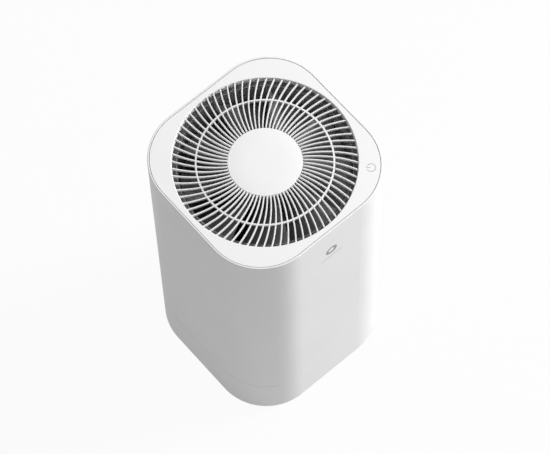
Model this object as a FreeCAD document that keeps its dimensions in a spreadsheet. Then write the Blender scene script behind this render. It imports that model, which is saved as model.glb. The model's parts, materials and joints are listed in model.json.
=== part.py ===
import FreeCAD, Part
import math
import os

import Sketcher

# Air purifier: a rounded square tower that draws air in through its rear door,
# through a round filter, and blows it up through a spiral grille in its top.
# +Z is up, -Y is the front, and the origin is at the middle of the footprint.

document = FreeCAD.newDocument("air_purifier")
sheet = document.addObject("Spreadsheet::Sheet", "sizes")
pieces = {}
rows = []


class Size:
    # A number together with the sheet expression that gives it.
    def __init__(self, value, text):
        self.value = value
        self.text = text

    def __add__(self, other):
        return Size(self.value + number(other), f"({self.text} + {words(other)})")

    def __radd__(self, other):
        return Size(number(other) + self.value, f"({words(other)} + {self.text})")

    def __sub__(self, other):
        return Size(self.value - number(other), f"({self.text} - {words(other)})")

    def __rsub__(self, other):
        return Size(number(other) - self.value, f"({words(other)} - {self.text})")

    def __mul__(self, other):
        return Size(self.value * number(other), f"({self.text} * {words(other)})")

    def __rmul__(self, other):
        return Size(number(other) * self.value, f"({words(other)} * {self.text})")

    def __truediv__(self, other):
        return Size(self.value / number(other), f"({self.text} / {words(other)})")

    def __neg__(self):
        return Size(-self.value, f"(0 - {self.text})")


def number(item):
    return item.value if isinstance(item, Size) else item


def words(item):
    return item.text if isinstance(item, Size) else f"({item})"


def size(name, value):
    rows.append(name)
    sheet.set(f"A{len(rows)}", name)
    sheet.set(f"B{len(rows)}", str(value))
    sheet.setAlias(f"B{len(rows)}", name)
    return Size(value, f"sizes.{name}")


def cosine(angle):
    return Size(math.cos(math.radians(number(angle))), f"cos({words(angle)})")


def sine(angle):
    return Size(math.sin(math.radians(number(angle))), f"sin({words(angle)})")


# ---- driving sizes, in millimetres and degrees ----
width = size("width", 250)                       # side of the rounded square plan
tall = size("tall", 474)                         # floor to rim
cornerRadius = size("cornerRadius", 75)
shellWall = size("shellWall", 2.25)
rimRound = size("rimRound", 1.0)
seamHeight = size("seamHeight", 78)              # joint between base and shell
seamGap = size("seamGap", 0.6)
ledgeReach = size("ledgeReach", 3.5)             # inner ledges of the shell
ledgeThick = size("ledgeThick", 3)
fitGap = size("fitGap", 0.3)                     # between pieces that drop into each other

footLift = size("footLift", 2)
footRadius = size("footRadius", 9)
footSet = size("footSet", 1.2)
footInset = size("footInset", 42)
trayFloor = size("trayFloor", 3)
trayWall = size("trayWall", 2.5)
trayRound = size("trayRound", 4)
bossRadius = size("bossRadius", 5)
bossInset = size("bossInset", 37)                # screw line in from each side
screwRadius = size("screwRadius", 1.8)
screwHead = size("screwHead", 3.5)
screwHeadTall = size("screwHeadTall", 2.2)
screwGap = size("screwGap", 0.15)

panelGap = size("panelGap", 0.8)
panelThick = size("panelThick", 2.6)
panelDrop = size("panelDrop", 0.2)
outletMargin = size("outletMargin", 9.5)         # side of the tower to the outlet
outletRound = size("outletRound", 0.8)

vaneCount = 72
vaneThick = size("vaneThick", 2.0)
grilleDepth = size("grilleDepth", 7)              # hub, band and ears
vaneDepth = size("vaneDepth", 4)
vaneSink = size("vaneSink", 1.5)
vaneLean = size("vaneLean", 3.15)
vaneCurve = size("vaneCurve", 160)
vanePhase = size("vanePhase", 2.18)
ringRadius = size("ringRadius", 85.6)
ringThick = size("ringThick", 1.7)
ringDepth = size("ringDepth", 4)
capRadius = size("capRadius", 46.6)
capThick = size("capThick", 1.9)
bandThick = size("bandThick", 2.2)
earAngle = size("earAngle", 31)
earRadius = size("earRadius", 5)
earReach = size("earReach", 10.5)                # ear centre beyond the outlet
earThick = size("earThick", 2.6)

fanSection = size("fanSection", 139)             # rim down to the fan deck
deckThick = size("deckThick", 3)
ductInset = size("ductInset", 6.5)
ductWall = size("ductWall", 2.2)
coneGap = size("coneGap", 5)                    # bellmouth's top down from the struts
ductFlange = size("ductFlange", 9.5)
footFlange = size("footFlange", 19)
flangeThick = size("flangeThick", 2.5)
inletRadius = size("inletRadius", 62)
collarWall = size("collarWall", 4)
lipGap = size("lipGap", 0.2)
lipWall = size("lipWall", 1.8)
lipTall = size("lipTall", 4)
sideScrewRadius = size("sideScrewRadius", 1.5)

bladeCount = 9
tipGap = size("tipGap", 2)
bladeDrop = size("bladeDrop", 18)                # rim down to the blades' top edges
bladeTall = size("bladeTall", 44)
bladeThick = size("bladeThick", 2.2)
bladeSpan = size("bladeSpan", 35)
bladeCamber = size("bladeCamber", 4)
bladePhase = size("bladePhase", 6.3)
hubRadius = size("hubRadius", 42)
hubWall = size("hubWall", 2.7)
hubDrop = size("hubDrop", 12)                    # hub's skirt below the blades

shaftRadius = size("shaftRadius", 4)
runningGap = size("runningGap", 0.05)
bearingRadius = size("bearingRadius", 11)
bearingTall = size("bearingTall", 7)
cupRadius = size("cupRadius", 34)
cupFloor = size("cupFloor", 3)
strutThick = size("strutThick", 4)
strutTall = size("strutTall", 11)
canWall = size("canWall", 1.5)
magnetThick = size("magnetThick", 2)
airGap = size("airGap", 1)
coreTall = size("coreTall", 16)

filterGap = size("filterGap", 11)                # filter to the edge of the door opening
filterLift = size("filterLift", 8)               # filter above the base seam
filterDrop = size("filterDrop", 22)              # fan deck's underside down to the filter
filterCapTall = size("filterCapTall", 6)
filterCapWall = size("filterCapWall", 1.6)
coreRadius = size("coreRadius", 56)
coreWall = size("coreWall", 1.5)
pleatInset = size("pleatInset", 3)
gasketTall = size("gasketTall", 3.2)
gasketWidth = size("gasketWidth", 9)
sealGap = size("sealGap", 0.4)

doorGap = size("doorGap", 0.6)
doorDrop = size("doorDrop", 3)                   # ledge's underside down to the door's top
slotWidth = size("slotWidth", 3)
slotTall = size("slotTall", 17)
slotPitch = size("slotPitch", 7.5)
slotRise = size("slotRise", 22.5)
gripWidth = size("gripWidth", 52)
gripTall = size("gripTall", 11)
magnetRadius = size("magnetRadius", 5)
keeperInset = size("keeperInset", 6)             # magnets in from where the corner begins

statusDrop = size("statusDrop", 57.6)
statusRadius = size("statusRadius", 9)
barDrop = size("barDrop", 75.5)
barLong = size("barLong", 34)
barTall = size("barTall", 2.6)
iconEdge = size("iconEdge", 14.5)                # touch key's centre in from the corner's arc
iconRadius = size("iconRadius", 5.9)
iconLine = size("iconLine", 1.1)
boardThick = size("boardThick", 1.6)             # every circuit board

# ---- levels and outlines worked out from them ----
half = width / 2
innerHalf = half - shellWall
innerCorner = cornerRadius - shellWall
doorPlane = half - cornerRadius + cornerRadius * math.sqrt(0.5)
keeperSpread = half - cornerRadius - keeperInset
panelTop = tall - panelDrop
panelUnder = panelTop - panelThick
outletRadius = half - outletMargin
vaneTop = tall - vaneSink
grilleFoot = vaneTop - grilleDepth
ductRadius = outletRadius - ductInset
deckTop = tall - fanSection
deckUnder = deckTop - deckThick
ledgeTop = deckUnder - fitGap
ledgeUnder = ledgeTop - ledgeThick
ductTop = grilleFoot - 1
bladeTop = tall - bladeDrop
bladeFoot = bladeTop - bladeTall
hubFoot = bladeFoot - hubDrop
tipRadius = ductRadius - tipGap
strutTop = hubFoot - 2
strutFoot = strutTop - strutTall
doorTop = ledgeUnder - doorDrop
doorFoot = seamHeight + seamGap / 2
filterRadius = doorPlane - filterGap
filterFoot = seamHeight + filterLift
filterTop = deckUnder - filterDrop
floorTop = seamHeight + 1.7
floorUnder = seamHeight - 2
bossLine = half - bossInset


# ---- ways to make a piece ----
def piece(label, item):
    item.Label = label
    pieces[label] = item
    return item


def turned(item, axis):
    turns = {"X": (FreeCAD.Vector(0, 1, 0), 90), "Y": (FreeCAD.Vector(1, 0, 0), -90),
             "Z": (FreeCAD.Vector(0, 0, 1), 0)}
    item.Placement = FreeCAD.Placement(FreeCAD.Vector(), FreeCAD.Rotation(*turns[axis]))


def bind(item, **settings):
    for prop, amount in settings.items():
        if isinstance(amount, Size):
            item.setExpression(prop, amount.text)
        else:
            setattr(item, prop, amount)


def put(item, x, y, z):
    for letter, amount in zip("xyz", (x, y, z)):
        item.setExpression(f"Placement.Base.{letter}", words(amount))


def block(name, x, y, z):
    # A box between two limits on each axis, each limit a (low, high) pair.
    item = document.addObject("Part::Box", name)
    bind(item, Length=x[1] - x[0], Width=y[1] - y[0], Height=z[1] - z[0])
    put(item, x[0], y[0], z[0])
    return item


def rod(name, radius, length, x, y, z, axis="Z"):
    item = document.addObject("Part::Cylinder", name)
    turned(item, axis)
    bind(item, Radius=radius, Height=length)
    put(item, x, y, z)
    return item


def cut(name, base, *tools):
    item = document.addObject("Part::Cut", name)
    item.Base = base
    item.Tool = tools[0] if len(tools) == 1 else group(name + "Tools", *tools)
    return item


def fuse(name, *parts):
    item = document.addObject("Part::MultiFuse", name)
    item.Shapes = list(parts)
    return item


def group(name, *parts):
    item = document.addObject("Part::Compound", name)
    item.Links = list(parts)
    return item


def body(name):
    return document.addObject("PartDesign::Body", name)


def sketchOn(owner, name, plane="XY_Plane", offset=0):
    sketch = owner.newObject("Sketcher::SketchObject", name)
    support = [f for f in owner.Origin.OriginFeatures if f.Role == plane][0]
    sketch.AttachmentSupport = [(support, "")]
    sketch.MapMode = "FlatFace"
    sketch.setExpression("AttachmentOffset.Base.z", words(offset))
    return sketch


def fix(sketch, geometry, point, x, y):
    for kind, amount in (("DistanceX", x), ("DistanceY", y)):
        if not isinstance(amount, Size) and amount == 0:
            axis = -2 if kind == "DistanceX" else -1
            sketch.addConstraint(Sketcher.Constraint("PointOnObject", geometry, point, axis))
            continue
        dimension(sketch, Sketcher.Constraint(kind, -1, 1, geometry, point, number(amount)), amount)


def dimension(sketch, constraint, amount):
    index = sketch.addConstraint(constraint)
    sketch.renameConstraint(index, f"size{index}")
    sketch.setExpression(f"Constraints.size{index}", words(amount))


def at(x, y):
    return FreeCAD.Vector(number(x), number(y), 0)


def polygon(sketch, points):
    first = sketch.GeometryCount
    count = len(points)
    for index in range(count):
        following = points[(index + 1) % count]
        sketch.addGeometry(Part.LineSegment(at(*points[index]), at(*following)), False)
    for index in range(count):
        after = first + (index + 1) % count
        sketch.addConstraint(Sketcher.Constraint("Coincident", first + index, 2, after, 1))
    for index, (x, y) in enumerate(points):
        fix(sketch, first + index, 1, x, y)


def circle(sketch, x, y, radius):
    index = sketch.addGeometry(Part.Circle(at(x, y), FreeCAD.Vector(0, 0, 1), number(radius)), False)
    fix(sketch, index, 3, x, y)
    dimension(sketch, Sketcher.Constraint("Radius", index, number(radius)), radius)


def roundedSquare(sketch, reach, corner):
    first = sketch.GeometryCount
    inset = reach - corner
    signs = ((1, 1), (-1, 1), (-1, -1), (1, -1))
    for index, (right, back) in enumerate(signs):
        middle = at(inset * right, inset * back)
        start = math.radians(90 * index)
        ring = Part.Circle(middle, FreeCAD.Vector(0, 0, 1), number(corner))
        sketch.addGeometry(Part.ArcOfCircle(ring, start, start + math.pi / 2), False)
    for index in range(4):
        tail = sketch.getPoint(first + index, 2)
        head = sketch.getPoint(first + (index + 1) % 4, 1)
        line = sketch.addGeometry(Part.LineSegment(tail, head), False)
        sketch.addConstraint(Sketcher.Constraint("Tangent", first + index, 2, line, 1))
        sketch.addConstraint(Sketcher.Constraint("Tangent", line, 2, first + (index + 1) % 4, 1))
    for index, (right, back) in enumerate(signs):
        fix(sketch, first + index, 3, inset * right, inset * back)
        dimension(sketch, Sketcher.Constraint("Radius", first + index, number(corner)), corner)


def pad(owner, sketch, length):
    item = owner.newObject("PartDesign::Pad", sketch.Name + "Pad")
    item.Profile = sketch
    bind(item, Length=length)
    return item


def pocket(owner, sketch, depth=None, reverse=False):
    item = owner.newObject("PartDesign::Pocket", sketch.Name + "Pocket")
    item.Profile = sketch
    item.Reversed = reverse
    if depth is None:
        item.Type = "ThroughAll"
    else:
        bind(item, Length=depth)
    return item


def revolve(owner, name, points, kind="Revolution"):
    # Points are (radius, height) pairs, turned about the Z axis.
    sketch = sketchOn(owner, name, "XZ_Plane")
    polygon(sketch, points)
    item = owner.newObject(f"PartDesign::{kind}", name + kind)
    item.Profile = sketch
    item.ReferenceAxis = (sketch, ["V_Axis"])
    item.Angle = 360
    return item


def ringBody(name, inner, outer, foot, top):
    owner = body(name)
    revolve(owner, name + "Profile", [(inner, foot), (outer, foot), (outer, top), (inner, top)])
    return owner


def around(owner, feature, count):
    pattern = owner.newObject("PartDesign::PolarPattern", feature.Name + "Around")
    pattern.Originals = [feature]
    pattern.Axis = ([f for f in owner.Origin.OriginFeatures if f.Role == "Z_Axis"][0], [""])
    pattern.Angle = 360
    pattern.Occurrences = count
    owner.Tip = pattern
    return pattern


def roundEdges(owner, feature, radius, wanted):
    document.recompute()
    names = [f"Edge{i + 1}" for i, edge in enumerate(feature.Shape.Edges) if wanted(edge)]
    item = owner.newObject("PartDesign::Fillet", feature.Name + "Round")
    item.Base = (feature, names)
    bind(item, Radius=radius)
    return item


def level(height, reach=0):
    # Picks edges that lie flat at a height and stay at least that far from the Z axis.
    def wanted(edge):
        box = edge.BoundBox
        flat = abs(box.ZMin - number(height)) < 0.01 and abs(box.ZMax - number(height)) < 0.01
        middle = edge.valueAt((edge.FirstParameter + edge.LastParameter) / 2)
        return flat and max(abs(middle.x), abs(middle.y),
                            math.hypot(middle.x, middle.y) * 0.8) > number(reach)
    return wanted


def squarePlate(name, reach, corner, foot, thick):
    owner = body(name)
    outline = sketchOn(owner, name + "Outline", offset=foot)
    roundedSquare(outline, reach, corner)
    pad(owner, outline, thick)
    return owner


def fourCorners(reach):
    return [(reach * right, reach * back) for right in (-1, 1) for back in (-1, 1)]


def screws(label, places, foot, top, headAt, radius=screwRadius):
    # Screws along Z: a shank between two heights and a head above or below it.
    solids = []
    for index, (x, y) in enumerate(places):
        shank = rod(f"{label}Shank{index}", radius, top - foot, x, y, foot)
        headFoot = top if headAt == "top" else foot - screwHeadTall
        head = rod(f"{label}Head{index}", radius + screwHead - screwRadius, screwHeadTall, x, y, headFoot)
        solids.append(fuse(f"{label}Screw{index}", shank, head))
    return piece(label, group(label, *solids))


def holes(name, places, foot, top, radius):
    return [rod(f"{name}{index}", radius, top - foot, x, y, foot) for index, (x, y) in enumerate(places)]


corners = fourCorners(bossLine)
frontCorners = [place for place in corners if number(place[1]) < 0]


# ---- outer shell: a rounded square tube with two inner ledges and a rear opening ----
def makeShell():
    shell = body("shellBody")
    wallFoot = seamHeight + seamGap / 2
    outline = sketchOn(shell, "shellOutline", offset=wallFoot)
    roundedSquare(outline, half, cornerRadius)
    wall = pad(shell, outline, tall - wallFoot)
    roundEdges(shell, wall, rimRound, level(tall, 1))
    bore = sketchOn(shell, "shellBore", offset=tall)
    roundedSquare(bore, innerHalf, innerCorner)
    pocket(shell, bore)
    for name, foot, thick in (
        ("panelLedge", panelUnder - fitGap - ledgeThick, ledgeThick),
        ("deckLedge", ledgeUnder, ledgeThick),
        ("footLedge", floorTop + fitGap, ledgeThick),
    ):
        ledge = sketchOn(shell, name, offset=foot)
        roundedSquare(ledge, innerHalf + 0.5, innerCorner + 0.5)
        roundedSquare(ledge, innerHalf - ledgeReach, innerCorner - ledgeReach)
        pad(shell, ledge, thick)
    opening = sketchOn(shell, "doorOpening", offset=doorFoot - 1)
    polygon(opening, [(-width, doorPlane), (width, doorPlane), (width, width), (-width, width)])
    pocket(shell, opening, doorTop + doorGap - doorFoot + 1, reverse=True)
    status = rod("statusHole", statusRadius + 0.1, shellWall + 6, 0, -half - 3, tall - statusDrop, "Y")
    bar = slotBlock("barHole", barLong + 0.2, barTall + 0.2, -half - 3, shellWall + 6, tall - barDrop)
    bosses = [
        rod(f"shellBoss{i}", bossRadius, ledgeThick, x, y, floorTop + fitGap)
        for i, (x, y) in enumerate(frontCorners)
    ]
    webs = []
    for i, (x, y) in enumerate(frontCorners):
        webFoot = x if number(x) > 0 else x - bossInset
        webs.append(block(f"shellWeb{i}", (webFoot, webFoot + bossInset), (y - bossRadius, y + bossRadius),
                          (floorTop + fitGap, floorTop + fitGap + ledgeThick)))
    outside = squarePlate("shellLimit", half - shellWall / 2, cornerRadius - shellWall / 2, floorTop,
                          ledgeThick + 1)
    inside = document.addObject("Part::MultiCommon", "shellWebs")
    inside.Shapes = [fuse("shellWebsFull", *webs, *bosses), outside]
    drilled = holes("shellDrill", frontCorners, floorTop, floorTop + ledgeThick + 1, screwRadius + screwGap)
    whole = fuse("shellWhole", shell, inside)
    piece("outer_shell", cut("outerShell", whole, status, bar, *drilled))


def slotBlock(name, long, high, back, deep, middle):
    # A bar with round ends that lies along X, cut or made along +Y from the given back.
    straight = block(name + "Middle", (-(long - high) / 2, (long - high) / 2), (back, back + deep),
                     (middle - high / 2, middle + high / 2))
    left = rod(name + "Left", high / 2, deep, -(long - high) / 2, back, middle, "Y")
    right = rod(name + "Right", high / 2, deep, (long - high) / 2, back, middle, "Y")
    return fuse(name, straight, left, right)


makeShell()

# ---- status light ring, its dark centre and the plain bar below it, all flush in the front wall ----
statusLens = rod("statusLensRod", statusRadius, shellWall, 0, -half + 0.1, tall - statusDrop, "Y")
statusFlange = rod("statusFlange", statusRadius + 2, 1.2, 0, -innerHalf + 0.1, tall - statusDrop, "Y")
piece("status_lens", fuse("statusLens", statusLens, statusFlange))
statusBar = slotBlock("statusBarFace", barLong, barTall, -half + 0.1, shellWall, tall - barDrop)
barFlange = slotBlock("statusBarFlange", barLong + 4, barTall + 3, -innerHalf + 0.1, 1.2, tall - barDrop)
piece("status_bar", fuse("statusBar", statusBar, barFlange))
statusBoardY = -innerHalf + 4
statusBoard = block("statusBoardPlate", (-22, 22), (statusBoardY, statusBoardY + boardThick),
                    (tall - barDrop - 8, tall - statusDrop + 16))
statusLights = [
    rod(f"statusLight{i}", 1.5, 1.4, x, statusBoardY - 1.4, tall - drop, "Y")
    for i, (x, drop) in enumerate(((0, statusDrop), (-10, barDrop), (10, barDrop)))
]
piece("status_board", fuse("statusBoard", statusBoard, *statusLights))


# ---- base tray with its feet, openings for the inlet and the sensor, and four screw bosses ----
inletX = size("inletX", 30)
inletWidth = size("inletWidth", 26)
inletTall = size("inletTall", 16)
inletDeep = size("inletDeep", 20)
socketDeep = size("socketDeep", 12)
socketRadius = size("socketRadius", 4.3)
pinSpread = size("pinSpread", 4.3)
pinRadius = size("pinRadius", 1.2)
portHeight = size("portHeight", 41)
sensorX = size("sensorX", -26)
sensorWidth = size("sensorWidth", 40)
sensorTall = size("sensorTall", 24)
coverThick = size("coverThick", 2)


def makeTray():
    tray = body("trayBody")
    outline = sketchOn(tray, "trayOutline", offset=footLift)
    roundedSquare(outline, half, cornerRadius)
    full = pad(tray, outline, seamHeight - seamGap / 2 - footLift)
    roundEdges(tray, full, trayRound, level(footLift, 1))
    hollow = sketchOn(tray, "trayHollow", offset=seamHeight)
    roundedSquare(hollow, half - trayWall, cornerRadius - trayWall)
    pocket(tray, hollow, seamHeight - footLift - trayFloor)
    for index, (x, y) in enumerate(corners):
        boss = sketchOn(tray, f"trayBoss{index}", offset=footLift + trayFloor - 0.5)
        circle(boss, x, y, bossRadius)
        pad(tray, boss, floorUnder - fitGap - footLift - trayFloor + 0.5)
    standoffs = [
        rod(f"standoff{i}", 3, 6.5, x, y, footLift + trayFloor - 0.5)
        for i, (x, y) in enumerate(boardScrewPlaces)
    ]
    whole = fuse("trayWhole", tray, *standoffs)
    tools = holes("trayDrill", corners, 0, seamHeight, screwRadius + screwGap)
    tools += holes("trayHead", corners, 0, footLift + screwHeadTall, screwHead + screwGap)
    tools += holes("trayFootSeat", footPlaces, 0, footLift + footSet, footRadius + 0.1)
    tools += holes("trayBoardDrill", boardScrewPlaces, footLift + trayFloor + 1, 12, 1.3)
    tools.append(portBlock("inletPort", inletX, inletWidth + 0.6, inletTall + 0.6))
    tools.append(portBlock("sensorPort", sensorX, sensorWidth + 0.8, sensorTall + 0.8))
    piece("base_tray", cut("baseTray", whole, *tools))


def portBlock(name, middle, wide, high):
    return block(name, (middle - wide / 2, middle + wide / 2), (half - trayWall - 8, half + 5),
                 (portHeight - high / 2, portHeight + high / 2))


footPlaces = fourCorners(half - footInset - 14)
powerBoardX = (-98, -8)
mainBoardX = (8, 98)
boardY = (-62, 48)
boardFoot = footLift + trayFloor + 6
boardScrewPlaces = [
    (x, y) for limits in (powerBoardX, mainBoardX) for x in (limits[0] + 5, limits[1] - 5)
    for y in (boardY[0] + 5, boardY[1] - 5)
]
makeTray()
feet = [rod(f"footPad{i}", footRadius, footLift + footSet, x, y, 0) for i, (x, y) in enumerate(footPlaces)]
piece("rubber_feet", group("rubberFeet", *feet))
screws("base_screws", corners, footLift + screwHeadTall, floorTop - 0.7, "foot")

# ---- electronics in the base ----
for label, limits in (("power_board", powerBoardX), ("control_board", mainBoardX)):
    middle = (limits[0] + limits[1]) / 2
    plate = block(label + "Plate", limits, boardY, (boardFoot, boardFoot + boardThick))
    drill = [
        rod(f"{label}Drill{i}", 1.6, 6, x, y, boardFoot - 1)
        for i, (x, y) in enumerate(boardScrewPlaces) if number(limits[0]) < number(x) < number(limits[1])
    ]
    top = boardFoot + 1.5
    if label == "power_board":
        fitted = [
            block("transformer", (middle - 16, middle + 14), (-30, 2), (top, top + 26)),
            rod("bulkCapacitor", 11, 30, middle + 22, 30, top),
            block("heatSink", (middle - 36, middle - 32), (-40, 20), (top, top + 28)),
            block("mainsFilter", (middle - 30, middle - 10), (22, 42), (top, top + 20)),
        ]
    else:
        fitted = [
            block("processor", (middle - 9, middle + 9), (-10, 8), (top, top + 1.8)),
            block("radioModule", (middle + 16, middle + 34), (18, 42), (top, top + 3.2)),
            block("fanSocket", (middle - 36, middle - 26), (-50, -34), (top, top + 8)),
            rod("smoothingCapacitor", 5, 14, middle + 26, -30, top),
        ]
    piece(label, cut(label + "Drilled", fuse(label + "Fitted", plate, *fitted), *drill))
screws("board_screws", boardScrewPlaces, footLift + trayFloor + 1.2, boardFoot + boardThick, "top",
       screwRadius - 0.5)

# ---- mains inlet with its two pins, and the dust sensor behind its pull-off cover ----
inletBack = half - inletDeep
inletBlock = block("inletBlock", (inletX - inletWidth / 2, inletX + inletWidth / 2), (inletBack, half),
                   (portHeight - inletTall / 2, portHeight + inletTall / 2))
socket = [
    rod(f"socket{i}", socketRadius, socketDeep + 1, inletX + pinSpread * side, half - socketDeep,
        portHeight, "Y")
    for i, side in enumerate((-1, 1))
]
socketWaist = block("socketWaist", (inletX - pinSpread, inletX + pinSpread), (half - socketDeep, half + 1),
                    (portHeight - socketRadius + 1.2, portHeight + socketRadius - 1.2))
pinHoles = [
    rod(f"pinHole{i}", pinRadius, inletDeep + 2, inletX + pinSpread * side, inletBack - 1, portHeight, "Y")
    for i, side in enumerate((-1, 1))
]
piece("mains_inlet", cut("mainsInlet", inletBlock, *socket, socketWaist, *pinHoles))
pins = [
    rod(f"inletPin{i}", pinRadius, inletDeep + 1, inletX + pinSpread * side, inletBack - 4, portHeight, "Y")
    for i, side in enumerate((-1, 1))
]
piece("inlet_pins", group("inletPins", *pins))

sensorBack = half - trayWall - 24
sensorBox = block("sensorBox", (sensorX - 17, sensorX + 17), (sensorBack, half - trayWall - 1.5),
                  (portHeight - 10, portHeight + 10))
sensorThroat = rod("sensorThroat", 3, 12, sensorX + 8, half - trayWall - 10, portHeight, "Y")
piece("dust_sensor", cut("dustSensor", sensorBox, sensorThroat))
coverPlate = block("coverPlate", (sensorX - sensorWidth / 2, sensorX + sensorWidth / 2),
                   (half - coverThick, half),
                   (portHeight - sensorTall / 2, portHeight + sensorTall / 2))
louvres = [
    block(f"louvre{i}", (sensorX - 14, sensorX + 10), (half - coverThick - 1, half + 1),
          (portHeight - 8.2 + 3.2 * i, portHeight - 6.6 + 3.2 * i))
    for i in range(6)
]
thumbNotch = rod("thumbNotch", 3.2, coverThick + 2, sensorX + sensorWidth / 2, half - coverThick - 1,
                 portHeight, "Y")
piece("sensor_cover", cut("sensorCover", coverPlate, *louvres, thumbNotch))


# ---- floor of the filter bay: a plate on the tray's bosses with a round seat and two clips for the door ----
tongueSpread = size("tongueSpread", 52)
tongueWidth = size("tongueWidth", 16)
tongueThick = size("tongueThick", 1.6)
tongueLong = size("tongueLong", 10)
harnessRadius = size("harnessRadius", 2.5)
harnessX = bossLine + 4
harnessY = -(bossLine - 12)


def tongueBlock(name, side, grow, back, front, foot, top):
    middle = tongueSpread * side
    wide = tongueWidth / 2 + grow
    return block(name, (middle - wide, middle + wide), (back, front), (foot, top))


def makeBayFloor():
    floor = squarePlate("bayFloorBody", half - trayWall - fitGap, cornerRadius - trayWall - fitGap,
                        floorUnder, floorTop - floorUnder)
    seat = sketchOn(floor, "filterSeat", offset=floorTop - 0.5)
    circle(seat, 0, 0, coreRadius + 8)
    pad(floor, seat, filterFoot - 0.5 - floorTop + 0.5)
    clips = []
    for index, side in enumerate((-1, 1)):
        clips.append(tongueBlock(f"clip{index}", side, 3, doorPlane - 6, doorPlane - 1,
                                 floorTop - 0.5, floorTop + tongueThick + 3.4))
    whole = fuse("bayFloorWhole", floor, *clips)
    slots = [
        tongueBlock(f"clipSlot{index}", side, 0.6, doorPlane - 8, doorPlane + 1, floorTop,
                    floorTop + tongueThick + 1)
        for index, side in enumerate((-1, 1))
    ]
    drilled = holes("floorDrill", corners, floorUnder - 1, floorTop + 1, screwRadius + screwGap)
    harness = rod("floorHarness", harnessRadius + 1, 12, harnessX, harnessY, floorUnder - 4)
    piece("bay_floor", cut("bayFloor", whole, *slots, *drilled, harness))


makeBayFloor()
screws("shell_screws", frontCorners, floorTop + 0.2, floorTop + fitGap + ledgeThick, "top")


# ---- fan deck: a plate on the shell's ledge with a collar down to the filter's seal ----
def makeDeck():
    deck = squarePlate("deckBody", innerHalf - fitGap, innerCorner - fitGap, deckUnder, deckThick)
    collarFoot = filterTop + gasketTall + sealGap
    revolve(deck, "collar", [(inletRadius, collarFoot), (inletRadius + collarWall, collarFoot),
                             (inletRadius + collarWall, deckUnder + 1), (inletRadius, deckUnder + 1)])
    bore = sketchOn(deck, "deckBore", offset=deckTop)
    circle(bore, 0, 0, inletRadius)
    pocket(deck, bore)
    drilled = holes("deckDrill", deckScrewPlaces, deckUnder - 1, deckTop + 1, screwRadius - 0.2)
    harness = rod("deckHarness", harnessRadius + 1, deckThick + 4, harnessX, harnessY, deckUnder - 2)
    piece("fan_deck", cut("fanDeck", deck, *drilled, harness))


ductScrewRadius = inletRadius + footFlange - 5
deckScrewPlaces = [
    (ductScrewRadius * math.cos(math.radians(60 * i + 30)),
     ductScrewRadius * math.sin(math.radians(60 * i + 30)))
    for i in range(6)
]
makeDeck()
screws("duct_screws", deckScrewPlaces, deckUnder - 0.8, deckTop + flangeThick, "top", screwRadius - 0.3)


# ---- bellmouth: foot flange and cone up to the barrel, with a lip that laps round the barrel's foot ----
coneTop = strutFoot - coneGap
barrelRadius = ductRadius + ductWall


def makeBellmouth():
    mouth = body("bellmouthBody")
    lipInner = barrelRadius + lipGap
    lipOuter = lipInner + lipWall
    revolve(mouth, "bellmouthProfile", [
        (inletRadius, deckTop), (inletRadius + footFlange, deckTop),
        (inletRadius + footFlange, deckTop + flangeThick),
        (inletRadius + ductWall + 2, deckTop + flangeThick), (lipOuter, coneTop - lipTall),
        (lipOuter, coneTop + lipTall), (lipInner, coneTop + lipTall), (lipInner, coneTop),
        (ductRadius, coneTop), (inletRadius, deckTop + flangeThick + 1),
    ])
    drilled = holes("bellmouthDrill", deckScrewPlaces, deckTop - 1, deckTop + flangeThick + 1,
                    screwRadius - 0.3 + screwGap)
    piece("fan_bellmouth", cut("fanBellmouth", mouth, *drilled))


# ---- fan duct: straight barrel round the blades with a flange at its top ----
def makeDuct():
    duct = body("ductBody")
    flangeOuter = ductRadius + ductFlange
    revolve(duct, "ductProfile", [
        (ductRadius, coneTop), (barrelRadius, coneTop), (barrelRadius, ductTop - flangeThick),
        (flangeOuter, ductTop - flangeThick), (flangeOuter, ductTop), (ductRadius, ductTop),
    ])
    radial = [rod(f"ductSide{i}", sideScrewRadius + screwGap, 12, 0, 0, 0, "X") for i in range(3)]
    for index, drill in enumerate(radial):
        aim(drill, bracketScrewAngle + 120 * index, ductRadius - 4, bracketScrewHeight)
    piece("fan_duct", cut("fanDuct", duct, *radial))


def aim(item, angle, radius, height):
    # Lays a rod made along +X out from the Z axis at an angle.
    turn = FreeCAD.Rotation(FreeCAD.Vector(0, 0, 1), angle)
    item.Placement = FreeCAD.Placement(FreeCAD.Vector(),
                                       turn.multiply(FreeCAD.Rotation(FreeCAD.Vector(0, 1, 0), 90)))
    put(item, radius * math.cos(math.radians(angle)), radius * math.sin(math.radians(angle)), height)


bracketScrewAngle = 30
bracketScrewHeight = strutFoot + strutTall / 2
makeBellmouth()
makeDuct()
sealFoot = ductTop + 0.1
piece("duct_seal", ringBody("ductSeal", ductRadius + 1, ductRadius + ductFlange - 0.5, sealFoot,
                            grilleFoot - 0.1))


tubeTop = strutTop + 38


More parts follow.
